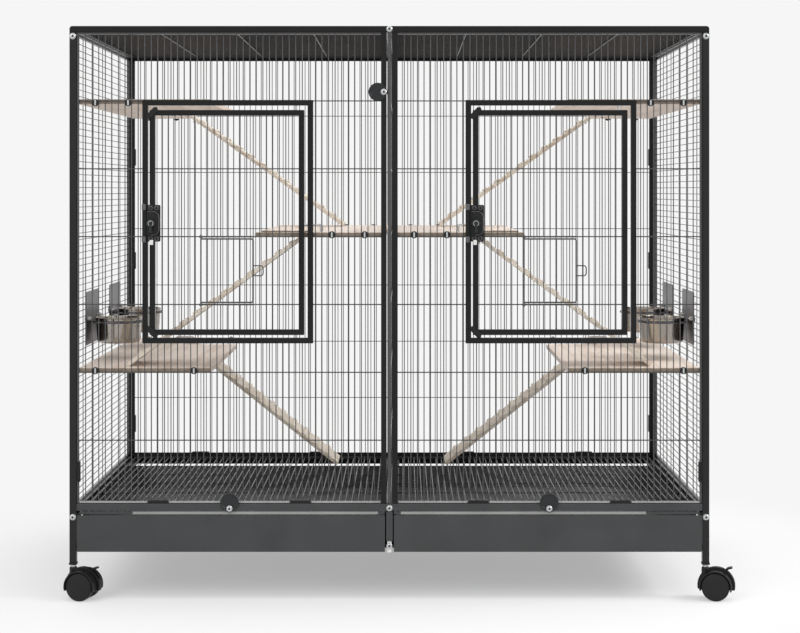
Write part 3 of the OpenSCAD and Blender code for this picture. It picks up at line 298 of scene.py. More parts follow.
# Local XY to the XZ plane seen from the front, local Z towards the front
FACE_FRONT = Matrix(((1, 0, 0, 0), (0, 0, -1, 0), (0, 1, 0, 0), (0, 0, 0, 1)))
# Local XY to the YZ plane seen from the right, local Z to the right
FACE_RIGHT = Matrix(((0, 0, 1, 0), (1, 0, 0, 0), (0, 1, 0, 0), (0, 0, 0, 1)))


def face_front(x, y, z):
    return Matrix.Translation((x, y, z)) @ FACE_FRONT


def side_place(side):
    """Pieces are made for the right side and mirrored for the left one."""
    return MIRROR_X if side == "left" else HERE


def rounded(width, height, radius, steps=5, centre=(0, 0)):
    """Outline of a rounded rectangle, counter-clockwise."""
    points = []
    for sx, sy, start in ((1, 1, 0), (-1, 1, 90), (-1, -1, 180), (1, -1, 270)):
        for i in range(steps + 1):
            t = math.radians(start + 90 * i / steps)
            points.append((
                centre[0] + sx * (width / 2 - radius) + radius * math.cos(t),
                centre[1] + sy * (height / 2 - radius) + radius * math.sin(t),
            ))
    return points


def arc(centre, radius, start, end, steps=16):
    angles = [math.radians(start + (end - start) * i / steps) for i in range(steps + 1)]
    return [(centre[0] + radius * math.cos(t), centre[1] + radius * math.sin(t)) for t in angles]


def bent(corners, radius, steps=5):
    """A path with its inner corners rounded."""
    corners = [Vector(c) for c in corners]
    path = [corners[0]]
    for before, corner, after in zip(corners, corners[1:], corners[2:]):
        a, b = (before - corner).normalized(), (after - corner).normalized()
        for i in range(steps + 1):
            t = i / steps
            start, end = corner + a * radius, corner + b * radius
            path.append((1 - t) ** 2 * start + 2 * t * (1 - t) * corner + t * t * end)
    path.append(corners[-1])
    return path


# Materials

def srgb(r, g, b):
    """A colour as it looks on screen, from 0 to 255, in linear light."""
    return tuple(((c / 255 + 0.055) / 1.055) ** 2.4 if c > 10 else c / 255 / 12.92 for c in (r, g, b)) + (1,)


class Nodes:
    """Short names for making one material's nodes."""

    def __init__(self, name, roughness, metallic=0.0, **inputs):
        self.material = bpy.data.materials.new(name)
        self.material.use_nodes = True
        self.tree = self.material.node_tree
        self.shader = self.tree.nodes["Principled BSDF"]
        self.set(self.shader, Roughness=roughness, Metallic=metallic, **inputs)
        self.where = self.make("ShaderNodeTexCoord").outputs["Object"]

    def make(self, kind, **inputs):
        node = self.tree.nodes.new(kind)
        self.set(node, **inputs)
        return node

    def fill(self, socket, value):
        if isinstance(value, bpy.types.NodeSocket):
            self.tree.links.new(value, socket)
        else:
            socket.default_value = value

    def set(self, node, **inputs):
        for key, value in inputs.items():
            self.fill(node.inputs[key.replace("_", " ")], value)

    def noise(self, scale, detail=3.0, stretch=(1, 1, 1), distortion=0.0):
        """A noise value, with its scale in features per metre, stretched along the axes."""
        mapping = self.make("ShaderNodeMapping", Vector=self.where, Scale=stretch)
        noise = self.make("ShaderNodeTexNoise", Vector=mapping.outputs[0], Scale=scale, Detail=detail,
                          Distortion=distortion)
        return noise.outputs["Fac"]

    def ramp(self, value, *stops):
        """A colour for a value; each stop is (place, colour)."""
        node = self.make("ShaderNodeValToRGB", Fac=value)
        ramp = node.color_ramp
        while len(ramp.elements) < len(stops):
            ramp.elements.new(0.5)
        for element, (place, colour) in zip(ramp.elements, stops):
            element.position, element.color = place, colour
        return node.outputs["Color"]

    def shades(self, value, colour, darker, lighter):
        """A colour that goes from darker to lighter by these shares."""
        return self.ramp(value, (0.3, scaled(colour, 1 - darker)), (0.7, scaled(colour, 1 + lighter)))

    def span(self, value, low, high):
        """A value between 0.3 and 0.7 mapped to a range."""
        node = self.make("ShaderNodeMapRange", Value=value, From_Min=0.3, From_Max=0.7, To_Min=low, To_Max=high)
        return node.outputs["Result"]

    def mix(self, share, a, b):
        node = self.make("ShaderNodeMix")
        node.data_type = "RGBA"
        # Sockets 6 and 7 and output 2 are the ones for colours
        for key, value in (("Factor", share), (6, a), (7, b)):
            self.fill(node.inputs[key], value)
        return node.outputs[2]

    def bump(self, height, strength, depth_mm):
        node = self.make("ShaderNodeBump", Height=height, Strength=strength, Distance=depth_mm * 0.001)
        self.set(self.shader, Normal=node.outputs["Normal"])


def scaled(colour, factor):
    return tuple(c * factor for c in colour[:3]) + (1,)


def paint(name, colour, roughness, specular=0.5, vary=0.12, peel=0.05, grain=700):
    """Powder coat or moulded plastic: slight mottling, uneven gloss and an orange-peel surface."""
    n = Nodes(name, roughness, Specular_IOR_Level=specular)
    n.set(n.shader, Base_Color=n.shades(n.noise(14, 4), srgb(*colour), vary, vary))
    n.set(n.shader, Roughness=n.span(n.noise(60), roughness - 0.06, roughness + 0.06))
    n.bump(n.noise(grain, 2), 0.35, peel)
    return n.material


def metal(name, colour, roughness, stretch=(1, 1, 1), vary=0.08, lines=900, depth=0.02):
    """Plated or polished metal with fine drawn or turned lines along the stretch."""
    n = Nodes(name, roughness, 1.0)
    n.set(n.shader, Base_Color=n.shades(n.noise(40, 4), srgb(*colour), vary, vary / 2))
    streaks = n.noise(lines, 2, stretch)
    n.set(n.shader, Roughness=n.span(streaks, roughness - 0.07, roughness + 0.07))
    n.bump(streaks, 0.25, depth)
    return n.material


def pine(name, along, light, dark):
    """Bare sanded softwood with its grain along one axis."""
    n = Nodes(name, 0.6)
    stretch = tuple(0.05 if axis == along else 1 for axis in "XYZ")
    rings = n.noise(42, 3, stretch, 0.6)
    fibre = n.noise(420, 3, stretch)
    broad = n.noise(5, 2)
    grain = n.ramp(rings, (0.32, light), (0.5, scaled(light, 0.93)), (0.58, dark),
                   (0.66, scaled(light, 0.97)))
    worn = n.mix(n.span(fibre, 0.0, 0.35), grain, scaled(light, 0.8))
    n.set(n.shader, Base_Color=n.mix(n.span(broad, 0.0, 0.3), worn, scaled(light, 1.08)))
    n.set(n.shader, Roughness=n.span(fibre, 0.52, 0.68))
    n.bump(fibre, 0.4, 0.12)
    return n.material


frame_paint = paint("frame_paint", (24, 24, 25), 0.2, 0.28)
bar_paint = paint("bar_paint", (19, 19, 20), 0.2, 0.22)
wire_paint = paint("wire_paint", (58, 58, 59), 0.24, 0.6)
grate_paint = paint("grate_paint", (54, 54, 56), 0.3, 0.4)
# Painted light: the drawers' sheet paint made lighter for the trays' walls and floor, for the light that
# reaches them through the grate
tray_lit_paint = paint("tray_lit_paint", (104, 105, 106), 0.5, 0.3, peel=0.08)
# Painted shade: the wire paint darkened for the roof's wires, which get less light from below
roof_shaded_paint = paint("roof_shaded_paint", (36, 35, 35), 0.34, 0.2)
sheet_paint = paint("sheet_paint", (56, 57, 58), 0.48, 0.3, peel=0.08)
black_plastic = paint("black_plastic", (20, 20, 21), 0.4, 0.25, peel=0.06, grain=1500)
wheel_plastic = paint("wheel_plastic", (24, 24, 24), 0.5, 0.25, peel=0.06, grain=1200)
disc_plastic = paint("disc_plastic", (30, 33, 34), 0.3, 0.3, peel=0.02, grain=900)
grey_plastic = paint("grey_plastic", (78, 78, 80), 0.4)
# Painted highlight: pale colour for the light caught by the top edge of the front panels' bottom border
rail_highlight_paint = paint("rail_highlight_paint", (160, 160, 159), 0.4)
# Painted highlight: pale colour for the bright strip along the drawers' lip, over the grates' front border
grate_highlight_paint = paint("grate_highlight_paint", (132, 132, 131), 0.45)
pale_plastic = paint("pale_plastic", (206, 206, 203), 0.4)
# Painted shade: a dark colour for the shade inside the screws' hexagon sockets
socket_shade_paint = paint("socket_shade_paint", (52, 52, 54), 0.5)
zinc = metal("zinc", (196, 197, 198), 0.3)
plate_steel = metal("plate_steel", (98, 96, 101), 0.36, stretch=(1, 1, 0.02), vary=0.2)
bowl_steel = metal("bowl_steel", (170, 163, 155), 0.15, stretch=(0.02, 0.02, 1))
shelf_wood = pine("shelf_wood", "Y", srgb(233, 219, 208), srgb(208, 186, 168))
ramp_wood = pine("ramp_wood", "X", srgb(224, 214, 200), srgb(190, 172, 150))
end_grain = pine("end_grain", "Y", srgb(134, 120, 106), srgb(104, 90, 76))


# Frame

def build_frame():
    post_edge, rail_edge = 1.4, 1.2
    s = Shape(frame_paint)
    for sx in (-1, 1):
        for sy in (-1, 1):
            s.bar((sx * in_x, sy * in_y, foot_z), (sx * hx, sy * hy, roof_z), post_edge)
    s.bar((-beam_half, in_y, back_z), (beam_half, hy, roof_z), post_edge)
    s.piece("corner_posts", "frame", "frame_paint", "posts")

    s = Shape(bar_paint)
    radius = 5
    height = top_z - roof_z
    outline = [(-hx, 0), (hx, 0)] + arc((hx - radius, height - radius), radius, 0, 90, 6)
    outline += arc((-hx + radius, height - radius), radius, 90, 180, 6)
    for y in (-in_y, hy):
        s.place = face_front(0, y, roof_z)
        s.prism(outline, 0, post, rail_edge)
    s.place = HERE
    for sx in (-1, 1):
        s.bar((sx * in_x, -in_y, roof_z), (sx * hx, in_y, top_z), rail_edge)
    s.piece("top_rails", "frame", "frame_paint", "roof_rails")

    s = Shape(frame_paint)
    s.bar(*box("roof_centre_beam"), rail_edge)
    s.bar(*box("base_centre_beam"), rail_edge)
    s.piece("centre_beams", "frame", "frame_paint", "roof_centre_beam", "base_centre_beam")

    s = Shape(sheet_paint)
    raised = 1.3
    s.bar((-in_x, -hy, front_rail_z + raised), (in_x, -in_y, floor_z), rail_edge)
    s.use(frame_paint)
    s.bar((-in_x, in_y, base_z), (in_x, hy, back_z), post_edge)
    for sx in (-1, 1):
        s.bar((sx * in_x, -in_y, base_z), (sx * hx, in_y, back_z), post_edge)
    s.piece("bottom_rails", "frame", "frame_paint", "base_rails")

    # Folded sheet under the floor: ledges for the grates and runners for the drawers
    s = Shape(sheet_paint)
    low, high = box("grate_ledges")
    inner, leg, leg_z = in_x - ledge_width, 1.2, tray_top + 1.6
    for sx in (-1, 1):
        s.bar((sx * inner, low.y, low.z), (sx * in_x, in_y, high.z), 0.4)
        s.bar((sx * inner, -in_y + 1, leg_z), (sx * (inner + leg), in_y, high.z), 0.4)
        s.bar((sx * 6, low.y, low.z), (sx * (6 + ledge_width), in_y, high.z), 0.4)
    s.piece("ledges", "frame", "sheet_paint", "grate_ledges")

    s = Shape(sheet_paint)
    low, high = box("drawer_runners")
    thick, width, top = 1.4, 20, runner_top
    for sx in (-1, 1):
        s.bar((sx * (in_x - width), low.y, top - thick), (sx * in_x, high.y, top), 0.5)
        s.bar((sx * (in_x - thick), low.y, low.z), (sx * in_x, high.y, top), 0.5)
    s.bar((-width, -in_y, top - thick), (width, in_y, top), 0.5)
    s.bar((-1, -in_y, top - 0.2), (1, in_y, base_z), 0.5)
    s.piece("runners", "frame", "sheet_paint", "drawer_runners")

    s = Shape(sheet_paint)
    low, high = box("drawer_centre_post")
    step_z = 104
    s.bar((-6, -hy, step_z), (6, -in_y, high.z), rail_edge)
    s.use(pale_plastic)
    s.bar((-4, -hy + 2, low.z), (4, -in_y, step_z), 0.6)
    s.piece("post_between_drawers", "frame", "frame_paint", "drawer_centre_post")

    s = Shape(black_plastic)
    collar = post / 2 + 0.75
    socket_z = box("leg_sockets")[0].z
    for sx in (-1, 1):
        for sy in (-1, 1):
            x, y = sx * post_x, sy * post_y
            s.bar((x - collar, y - collar, socket_z), (x + collar, y + collar, foot_z + 0.4), 0.9)
    s.piece("foot_plugs", "frame", "black_plastic", "leg_sockets")


# Profiles of turned parts are (radius, height) pairs
SCREW_HEAD = [(5.6, 0), (5.6, 0.7), (5.3, 1.0), (4.7, 1.0), (4.7, 2.0), (4.3, 2.7), (3.4, 3.0), (2.1, 3.0),
              (2.1, 1.6)]
SHELF_WASHER = [(0, 0), (6.2, 0), (6.5, 0.3), (6.4, 0.9), (6.0, 1.2), (0, 1.2)]


def screw(s, x, y, z, toward, shoulder=0.0):
    """A pan head with a hexagon socket on a washer; toward is -1 for the front and 1 for the back."""
    axis = (0, toward, 0)
    s.use(zinc)
    if shoulder:
        s.rod((x, y, z), (x, y + toward * shoulder, z), 4.8, 20)
    s.turned((x, y + toward * shoulder, z), axis, SCREW_HEAD, 32)
    # The socket is a flat dark hexagon on the head, painted shade for its hollow
    s.use(socket_shade_paint)
    s.turned((x, y + toward * (shoulder + 1.6), z), axis, [(2.15, 0), (1.8, 0.05), (0, 0.05)], 6)


def build_screws():
    s = Shape(zinc)
    for sx in (-1, 1):
        for z in (screw_low, screw_high):
            screw(s, sx * post_x, -hy, z, -1)
            screw(s, sx * post_x, hy, z, 1)
    screw(s, 0, -hy, top_z - 5.5, -1)
    screw(s, 0, -hy, front_rail_z + 6.1, -1)
    screw(s, 0, -hy + 2, 95.5, -1)
    for x, z in disc_pivots.values():
        screw(s, x, -hy, z, -1, 4.6)
    s.piece("frame_bolts", "frame", "zinc_steel", "frame_screws")

    s = Shape(zinc)
    pitch = (panel_out - panel_in) / bay_gaps
    back_in = beam_half + border
    back_pitch = (panel_out - back_in) / bay_gaps

    def between(x, first, step):
        """The middle of the gap between two wires nearest to x."""
        return first + step * (math.floor((x - first) / step) + 0.5)

    # Bolts under the top, middle and lower shelves
    rows = (((466, 526), levels[5] - 3.4), ((44, 103), levels[3] + 3.4), ((350, 526), levels[1] + 3.4))
    for places, z in rows:
        for x in places:
            for sx in (-1, 1):
                ends = ((between(x, panel_in, pitch), -1), (between(x, back_in, back_pitch), 1))
                for place, toward in ends:
                    y = hy - wire_back + wire / 2
                    s.use(frame_paint)
                    s.turned((sx * place, toward * y, z), (0, toward, 0), SHELF_WASHER, 28)
                    s.use(zinc)
                    across = MIRROR_Y if toward > 0 else HERE
                    s.place = across @ face_front(sx * place, -y - 1, z)
                    s.prism(rounded(3, 10, 1.4), 0, 1.7, 0.5)
                    s.place = HERE
    s.piece("shelf_bolts", "frame", "zinc_steel", "shelf_screws")


# Wire panels

def spread(first, last, gaps):
    """The places between two borders that split the way into equal gaps."""
    return [first + (last - first) * i / gaps for i in range(1, gaps)]


def uprights(s, places, z0, z1, back=wire_back, width=drawn_wire):
    for x in places:
        s.rod((x, -hy + back, z0), (x, -hy + back, z1), width)


def crosswires(s, x0, x1, rows, width=drawn_cross):
    for z in rows:
        s.rod((x0, -hy + cross_back, z), (x1, -hy + cross_back, z), width)


def thin_bar(s, x0, z0, x1, z1):
    """A border bar of a panel, set back from the front face."""
    s.bar((x0, -hy + bar - border_depth, z0), (x1, -hy + bar, z1), 0.7)


def border_bars(s, low, high, ends, sides, width=border, lap=1.0, edge=0.7):
    """Full bars at both ends of one axis (0, 1 or 2), and bars between them at both ends of another."""
    low, high = np.array(low, float), np.array(high, float)
    for axis in (ends, sides):
        near, far = high.copy(), low.copy()
        near[axis] = low[axis] + width
        far[axis] = high[axis] - width
        s.bar(low, near, edge)
        s.bar(far, high, edge)
        low[ends] += width - lap
        high[ends] -= width - lap


def build_front_panel(side):
    s = Shape(wire_paint)
    s.place = side_place(side)
    z0, z1 = floor_z + border, roof_z - border
    wires = spread(panel_in, panel_out, bay_gaps)
    uprights(s, [x for x in wires if not surround_in - wire < x < surround_out + wire], z0 - 1, z1 + 1)
    over_door = [x for x in wires if surround_in + wire < x < surround_out - wire]
    uprights(s, over_door, z0 - 1, surround_low + 1)
    uprights(s, over_door, surround_high - 1, z1 + 1)
    crosswires(s, panel_in - 1, panel_out + 1, levels[:2] + levels[5:])
    crosswires(s, panel_in - 1, surround_in + 1, levels[2:5])
    crosswires(s, surround_out - 1, panel_out + 1, levels[2:5])
    thin_bar(s, panel_in - 1, floor_z, panel_out + 1, z0)
    thin_bar(s, panel_in - 1, z1, panel_out + 1, roof_z)
    thin_bar(s, panel_out, floor_z, in_x, roof_z)
    # Painted highlight: a pale strip along the front rail's edge, for the light that the bottom border's top
    # edge catches, between the border clips
    s.use(rail_highlight_paint)
    for x0, x1 in ((panel_in + 1, 140), (180, 396), (436, panel_out - 1)):
        s.bar((x0, -hy + bar - border_depth - 0.3, floor_z + 1.2), (x1, -hy + bar - 1, z0 - 0.4), 0.25)
    s.use(bar_paint)
    s.bar((slot_half, -hy, floor_z), (panel_in, -hy + bar, roof_z), 1.0)
    low, high = (surround_in, -hy, surround_low), (surround_out, -hy + bar, surround_high)
    border_bars(s, low, high, 0, 2, bar, 0.6, 1.0)
    s.piece(side + "_front_grille", "frame", "wire_paint", side + "_front_panel")


def build_back_panel(side):
    s = Shape(wire_paint)
    s.place = side_place(side) @ MIRROR_Y
    first = beam_half + border
    z0, z1 = back_z + border, roof_z - border
    uprights(s, spread(first, panel_out, bay_gaps), z0 - 1, z1 + 1, width=rear_wire)
    crosswires(s, first - 1, panel_out + 1, levels, rear_wire)
    s.use(frame_paint)
    border_bars(s, (beam_half, -hy + bar - border_depth, back_z), (in_x, -hy + bar, roof_z), 0, 2)
    s.piece(side + "_back_grille", "frame", "wire_paint", side + "_back_panel")


def build_side_panel(side):
    s = Shape(wire_paint)
    s.place = side_place(side)
    face = hx - border_depth
    half = in_y - border
    z0, z1 = back_z + border, roof_z - border
    x = face + 0.15 + wire / 2
    for z in spread(z0, z1, side_gaps):
        s.rod((x, -half - 1, z), (x, half + 1, z), rear_wire)
    x += wire / 2 + cross / 2
    for y in spread(-half, half, side_rods + 1):
        s.rod((x, y, z0 - 1), (x, y, z1 + 1), rear_wire)
    border_bars(s, (face, -in_y, back_z), (hx, in_y, roof_z), 1, 2)
    s.piece(side + "_side_grille", "frame", "wire_paint", side + "_side_panel")


def build_roof_panel(side):
    # The roof's wires take the darkened copy of the wire paint, which is painted shade
    s = Shape(roof_shaded_paint)
    s.place = side_place(side)
    low, high = box("right_roof_panel")
    half = in_y - border
    inner = beam_half + border
    z = high.z - 0.15 - wire / 2
    for y in spread(-half, half, roof_gaps):
        s.rod((inner - 1, y, z), (panel_out + 1, y, z), wire)
    z -= wire / 2 + cross / 2
    for x in spread(0, in_x, roof_bays):
        s.rod((x, -half - 1, z), (x, half + 1, z), cross)
    border_bars(s, (beam_half, -in_y, low.z), (in_x, in_y, high.z), 1, 0)
    s.piece(side + "_roof_grille", "frame", "wire_paint", side + "_roof_panel")


def build_divider():
    s = Shape(wire_paint)
    low, high = box("divider")
    rail, half = 8, high.x
    y0, y1 = low.y + rail, high.y - rail
    x = -half + 0.25 + wire / 2
    for y in spread(y0, y1, divider_gaps):
        s.rod((x, y, low.z + rail - 1), (x, y, high.z - rail + 1), wire)
    for z in levels:
        s.rod((half - 0.25 - cross / 2, y0 - 1, z), (half - 0.25 - cross / 2, y1 + 1, z), cross)
    border_bars(s, low, high, 1, 2, rail, 0.6, 0.9)
    s.piece("divider_grille", "divider", "wire_paint", "divider")


def build_grate(side):
    s = Shape(grate_paint)
    s.place = side_place(side)
    low, high = box("right_grate")
    x0, x1, y0, y1 = low.x + border, high.x - border, low.y + border, high.y - border
    z = high.z - grate_wire / 2
    for x in spread(x0, x1, grate_gaps):
        s.rod((x, y0 - 1, z), (x, y1 + 1, z), grate_wire)
    z -= grate_wire
    for y in spread(y0, y1, grate_rows):
        s.rod((x0 - 1, y, z), (x1 + 1, y, z), grate_wire)
    border_bars(s, low, high, 0, 1, border, 0.5, 0.8)
    # Painted highlight: a pale strip over the middle of the front border, for the light caught along the
    # drawers' lip
    s.use(grate_highlight_paint)
    s.bar((lip_in + 0.5, low.y - 0.5, low.z + 0.1), (lip_out - 0.5, y0 - 1, high.z + 0.1), 0.5)
    s.piece(side + "_floor_grate", side + "_grate", "wire_paint", side + "_grate")


def build_clips():
    """Plastic channels over the border bars."""
    s = Shape(black_plastic)
    length, wall, gap = 36, 1.8, 0.15
    depth, reach = border_depth, border
    # U outline: local X is the depth of the panel, local Y is across the bar
    a, b = -wall, depth + wall
    channel = [(a, 0), (-gap, 0), (-gap, reach + gap), (depth + gap, reach + gap),
               (depth + gap, 0), (b, 0), (b, reach + wall), (a, reach + wall)]
    upright = Matrix(((0, -1, 0, 0), (1, 0, 0, 0), (0, 0, 1, 0), (0, 0, 0, 1)))
    for sx, side in ((-1, "left"), (1, "right")):
        for across, z, heights in ((HERE, floor_z, (228,)), (MIRROR_Y, back_z, (228, 582, 806))):
            for x in (160, 416):
                start = Matrix.Translation((sx * x - length / 2, -hy + bar - depth, z))
                s.place = across @ start @ FACE_RIGHT
                s.prism(channel, 0, length, 0.5)
            for height in heights:
                start = Matrix.Translation((in_x, -hy + bar - depth, height - length / 2))
                s.place = side_place(side) @ across @ start @ upright
                s.prism(channel, 0, length, 0.5)
    s.piece("border_clips", "frame", "black_plastic", "panel_clips")


# Doors, hatches and latches

HATCH_EYE = [(1.56, 0), (2.8, 0), (3.1, 0.4), (3.1, 3.6), (2.8, 4), (1.56, 4), (1.56, 0)]
LATCH_RING = [(3.9, 0), (3.9, 0.7), (3.5, 1.0), (2.8, 1.0), (2.8, 0.2), (0, 0.2)]
LATCH_RIVET = [(2.3, 0), (2.2, 0.7), (1.7, 1.1), (0, 1.1)]
LATCH_KNOB = [(0, 0), (6.9, 0), (7.4, 0.5), (7.5, 1.5), (7.4, 6.8), (6.8, 7.8), (5.6, 8.0), (5.2, 7.2),
              (0, 7.2)]
# A bright ring on the knob's face, standing for the highlight around its centre: painted highlight
KNOB_GLINT_RING = [(4.9, 0), (5.2, 0.6), (4.9, 1.3), (4.1, 1.4), (3.9, 0.6), (3.9, 0)]


def door_wire(side, i):
    return door_lefts[side] + bar + i * door_pitch


def build_door(side):
    s = Shape(wire_paint)
    x0 = door_lefts[side]
    x1 = x0 + door_width
    z0, z1 = door_z0 + bar - 1, door_z1 - bar + 1
    for i in range(1, door_gaps):
        x = [door_wire(side, i)]
        if hatch_first < i < hatch_first + hatch_span:
            uprights(s, x, z0, levels[2])
            uprights(s, x, levels[3], z1)
        else:
            uprights(s, x, z0, z1)
    crosswires(s, x0 + bar - 1, x1 - bar + 1, levels[2:5])
    left, right = door_wire(side, hatch_first), door_wire(side, hatch_first + hatch_span)
    for z in levels[2:4]:
        s.rod((left, -hy + wire_back, z), (right, -hy + wire_back, z), hatch_wire, 14)
        s.turned((left, -hy + hatch_back, z - 2), UP, HATCH_EYE, 20)
    s.use(bar_paint)
    border_bars(s, (x0, -hy, door_z0), (x1, -hy + bar, door_z1), 0, 2, bar, 0.6, 1.0)
    # Corner stops
    s.use(black_plastic)
    stop = [(-5, -15), (1, -17), (16, -1.5), (14, 5), (8, 5), (-5, -9)]
    s.place = face_front(x0, -hy - 0.3, door_z1)
    s.prism(stop, 0, 3.2, 0.9)
    s.place = face_front(x0, -hy - 0.3, door_z0)
    s.prism([(a, -b) for a, b in stop[::-1]], 0, 3.2, 0.9)
    s.place = HERE
    s.use(zinc)
    pin_x, pin_y = x1 - 15, -hy + bar / 2
    for z0, z1 in ((surround_low + 2, door_z0 + 1), (door_z1 - 1, surround_high - 2)):
        s.rod((pin_x, pin_y, z0), (pin_x, pin_y, z1), 4, 32, 0.4)
    s.piece(side + "_door_leaf", side + "_door", "wire_paint", side + "_door")


def build_hatch(side):
    s = Shape(wire_paint)
    y = -hy + hatch_back
    left, right = door_wire(side, hatch_first), door_wire(side, hatch_first + hatch_span)
    low, high = levels[2] + 4, levels[3] - 4
    s.rod((left, y, levels[2] - 4), (left, y, levels[3] + 4), hatch_pivot, 16)
    corners = [(left, y, low), (right, y, low), (right, y, high), (left, y, high)]
    s.pipe(bent(corners, 4), hatch_wire, sides=14)
    for i in range(hatch_first + 1, hatch_first + hatch_span):
        uprights(s, [door_wire(side, i)], low, high, hatch_back)
    middle, loop = (low + high) / 2, 18
    corners = [(right, y, middle - loop / 2), (right + loop, y, middle - loop / 2),
               (right + loop, y, middle + loop / 2), (right, y, middle + loop / 2)]
    s.pipe(bent(corners, 5), wire, sides=12)
    s.piece(side + "_feeding_hatch", side + "_hatch", "wire_paint", side + "_hatch")


def build_latch(side):
    x0 = door_lefts[side]
    back = -hy - 0.4
    width, height, depth = 24.5, 2 * latch_half, 12
    left = x0 - 4.5
    middle = left + width / 2
    s = Shape(black_plastic)
    s.place = face_front(0, back, latch_z)
    s.prism(rounded(width, height / 2 - 6, 2.5, centre=(middle, height / 4 + 3)), 0, 2, 0.5)
    s.prism(rounded(width, height / 2 + 8, 2.5, centre=(middle, 4 - height / 4)), 0, 2, 0.5)
    cover_half, corner = 22, 11
    right = left + width - 1
    turn_x, turn_z = right - corner, cover_half - corner
    cover = [(left + 1, -cover_half)]
    cover += arc((turn_x, -turn_z), corner, -90, 0, 8)
    cover += arc((turn_x, turn_z), corner, 0, 90, 8)
    cover += [(left + 1, cover_half)]
    s.prism(cover, 1, depth - 2.5, 1.6)
    s.prism([((x - middle) * 0.78 + middle, z * 0.84) for x, z in cover], depth - 5, depth, 1.6)
    for share in (0.28, 0.72):
        for z in (27.5, -27.5):
            s.use(grey_plastic)
            s.turned((left + share * width, z, 1.9), UP, LATCH_RING, 24)
            s.use(black_plastic)
            s.turned((left + share * width, z, 2), UP, LATCH_RIVET, 20)
    s.use(grey_plastic)
    rim = [(left + 2, cover_half - 1.2), (turn_x, cover_half - 1.2)]
    rim += arc((turn_x, turn_z), corner - 1.2, 90, 0, 8)
    rim += arc((turn_x, -turn_z), corner - 1.2, 0, -90, 8)
    rim += [(turn_x - 4, -cover_half + 0.6)]
    s.pipe([(x, z, depth - 3.4) for x, z in rim], 1.6, sides=10)
    s.use(pale_plastic)
    s.bar((x0 + 0.5, -latch_half - 6, 1.0), (x0 + 7, -latch_half + 3, 3.4), 0.8)
    s.piece(side + "_latch_case", side + "_door", "black_plastic", side + "_latch_body")

    s = Shape(disc_plastic)
    x = x0 + bar / 2
    knob_back = back - depth - 0.3
    s.turned((x, knob_back, latch_z), (0, -1, 0), LATCH_KNOB)
    s.bar((x - 2.2, knob_back - 11, latch_z - 17), (x + 2.2, knob_back - 7, latch_z + 4), 1.6)
    # Painted highlight: a zinc ring on the knob's face for the glint around its centre
    s.use(zinc)
    s.turned((x, knob_back - 7, latch_z), (0, -1, 0), KNOB_GLINT_RING, 32)
    cam_y, cam_thick, cam_reach = -hy + bar + 0.3, 3, 22
    s.rod((x, knob_back + 1, latch_z), (x, cam_y + cam_thick, latch_z), 5, 24)
    s.place = face_front(x, cam_y + cam_thick, latch_z)
    cam = arc((0, 0), 4, 180, 360, 10) + arc((0, cam_reach), 4, 0, 180, 10)
    s.prism(cam, 0, cam_thick, 0.5)
    s.piece(side + "_latch_handle", side + "_latch_knob", "dark_gloss_plastic", side + "_latch_knob")


def build_keepers():
    s = Shape(black_plastic)
    width, half = 7, latch_half + 1.5
    for x0 in (-surround_out, surround_in):
        z0, z1 = latch_z - half, latch_z + half
        s.use(black_plastic)
        s.bar((x0, -hy - 1.6, z0), (x0 + width, -hy, z1), 0.5)
        s.use(grey_plastic)
        for z in (z0, z1 - 11):
            s.bar((x0, -hy - 7.5, z), (x0 + width, -hy - 0.8, z + 11), 1.2)
    s.piece("keepers", "frame", "grey_plastic", "latch_keepers")


def build_disc(node):
    low, high = box(node)
    x, z = disc_pivots[node]
    centre = ((low.x + high.x) / 2, high.y, (low.z + high.z) / 2)
    thick = high.y - low.y
    s = Shape(disc_plastic)
    s.turned(centre, (0, -1, 0), [
        (0, 0), (15.8, 0), (16.3, 0.3), (16.5, 0.9), (16.5, thick - 0.9), (16.2, thick - 0.3), (15.4, thick),
        (13.6, thick), (13.0, thick - 0.6), (0, thick - 0.6),
    ], 64)
    collar = [(7.2, thick - 0.9), (7.0, thick), (6.0, thick), (2.6, thick)]
    s.turned((x, high.y, z), (0, -1, 0), collar, 32)
    s.piece(node.replace("turn_disc", "lock_disc"), node, "dark_gloss_plastic", node)


# Shelves, ramps and bowls

shelf_end = box("top_shelves")[1].y
shelf_thick = 9
ramp_width = 100
lane_y = shelf_end - 30 - ramp_width / 2
side_notch, mid_notch = 430, 150


def build_shelves():
    notch = 160
    side_in, side_out, mid_in, mid_out = 322, 561, 6.55, 243
    tongue_back, tongue_front = -shelf_end + 20, -316.4
    side_outline = [(side_in, -shelf_end), (side_out, -shelf_end), (side_out, shelf_end),
                    (side_notch, shelf_end), (side_notch, shelf_end - notch), (side_in, shelf_end - notch)]
    mid_outline = [(mid_in, -shelf_end), (mid_notch, -shelf_end), (mid_notch, tongue_front),
                   (mid_out, tongue_front), (mid_out, tongue_back), (mid_notch, tongue_back),
                   (mid_notch, -shelf_end + notch), (mid_out, -shelf_end + notch), (mid_out, shelf_end),
                   (mid_in, shelf_end)]
    for name, outline in (("top", side_outline), ("middle", mid_outline), ("lower", side_outline)):
        node = name + "_shelves"
        s = Shape(shelf_wood)
        z = box(node)[0].z
        for flip in (HERE, MIRROR_X):
            s.place = flip
            s.prism(outline, z, z + shelf_thick, 1.0)
        board = s.piece(name + "_shelf_boards", "frame", "pale_wood", node)
        board.data.materials.append(end_grain)
        for face in board.data.polygons:
            if abs(face.normal.y) > 0.9:
                face.material_index = 1


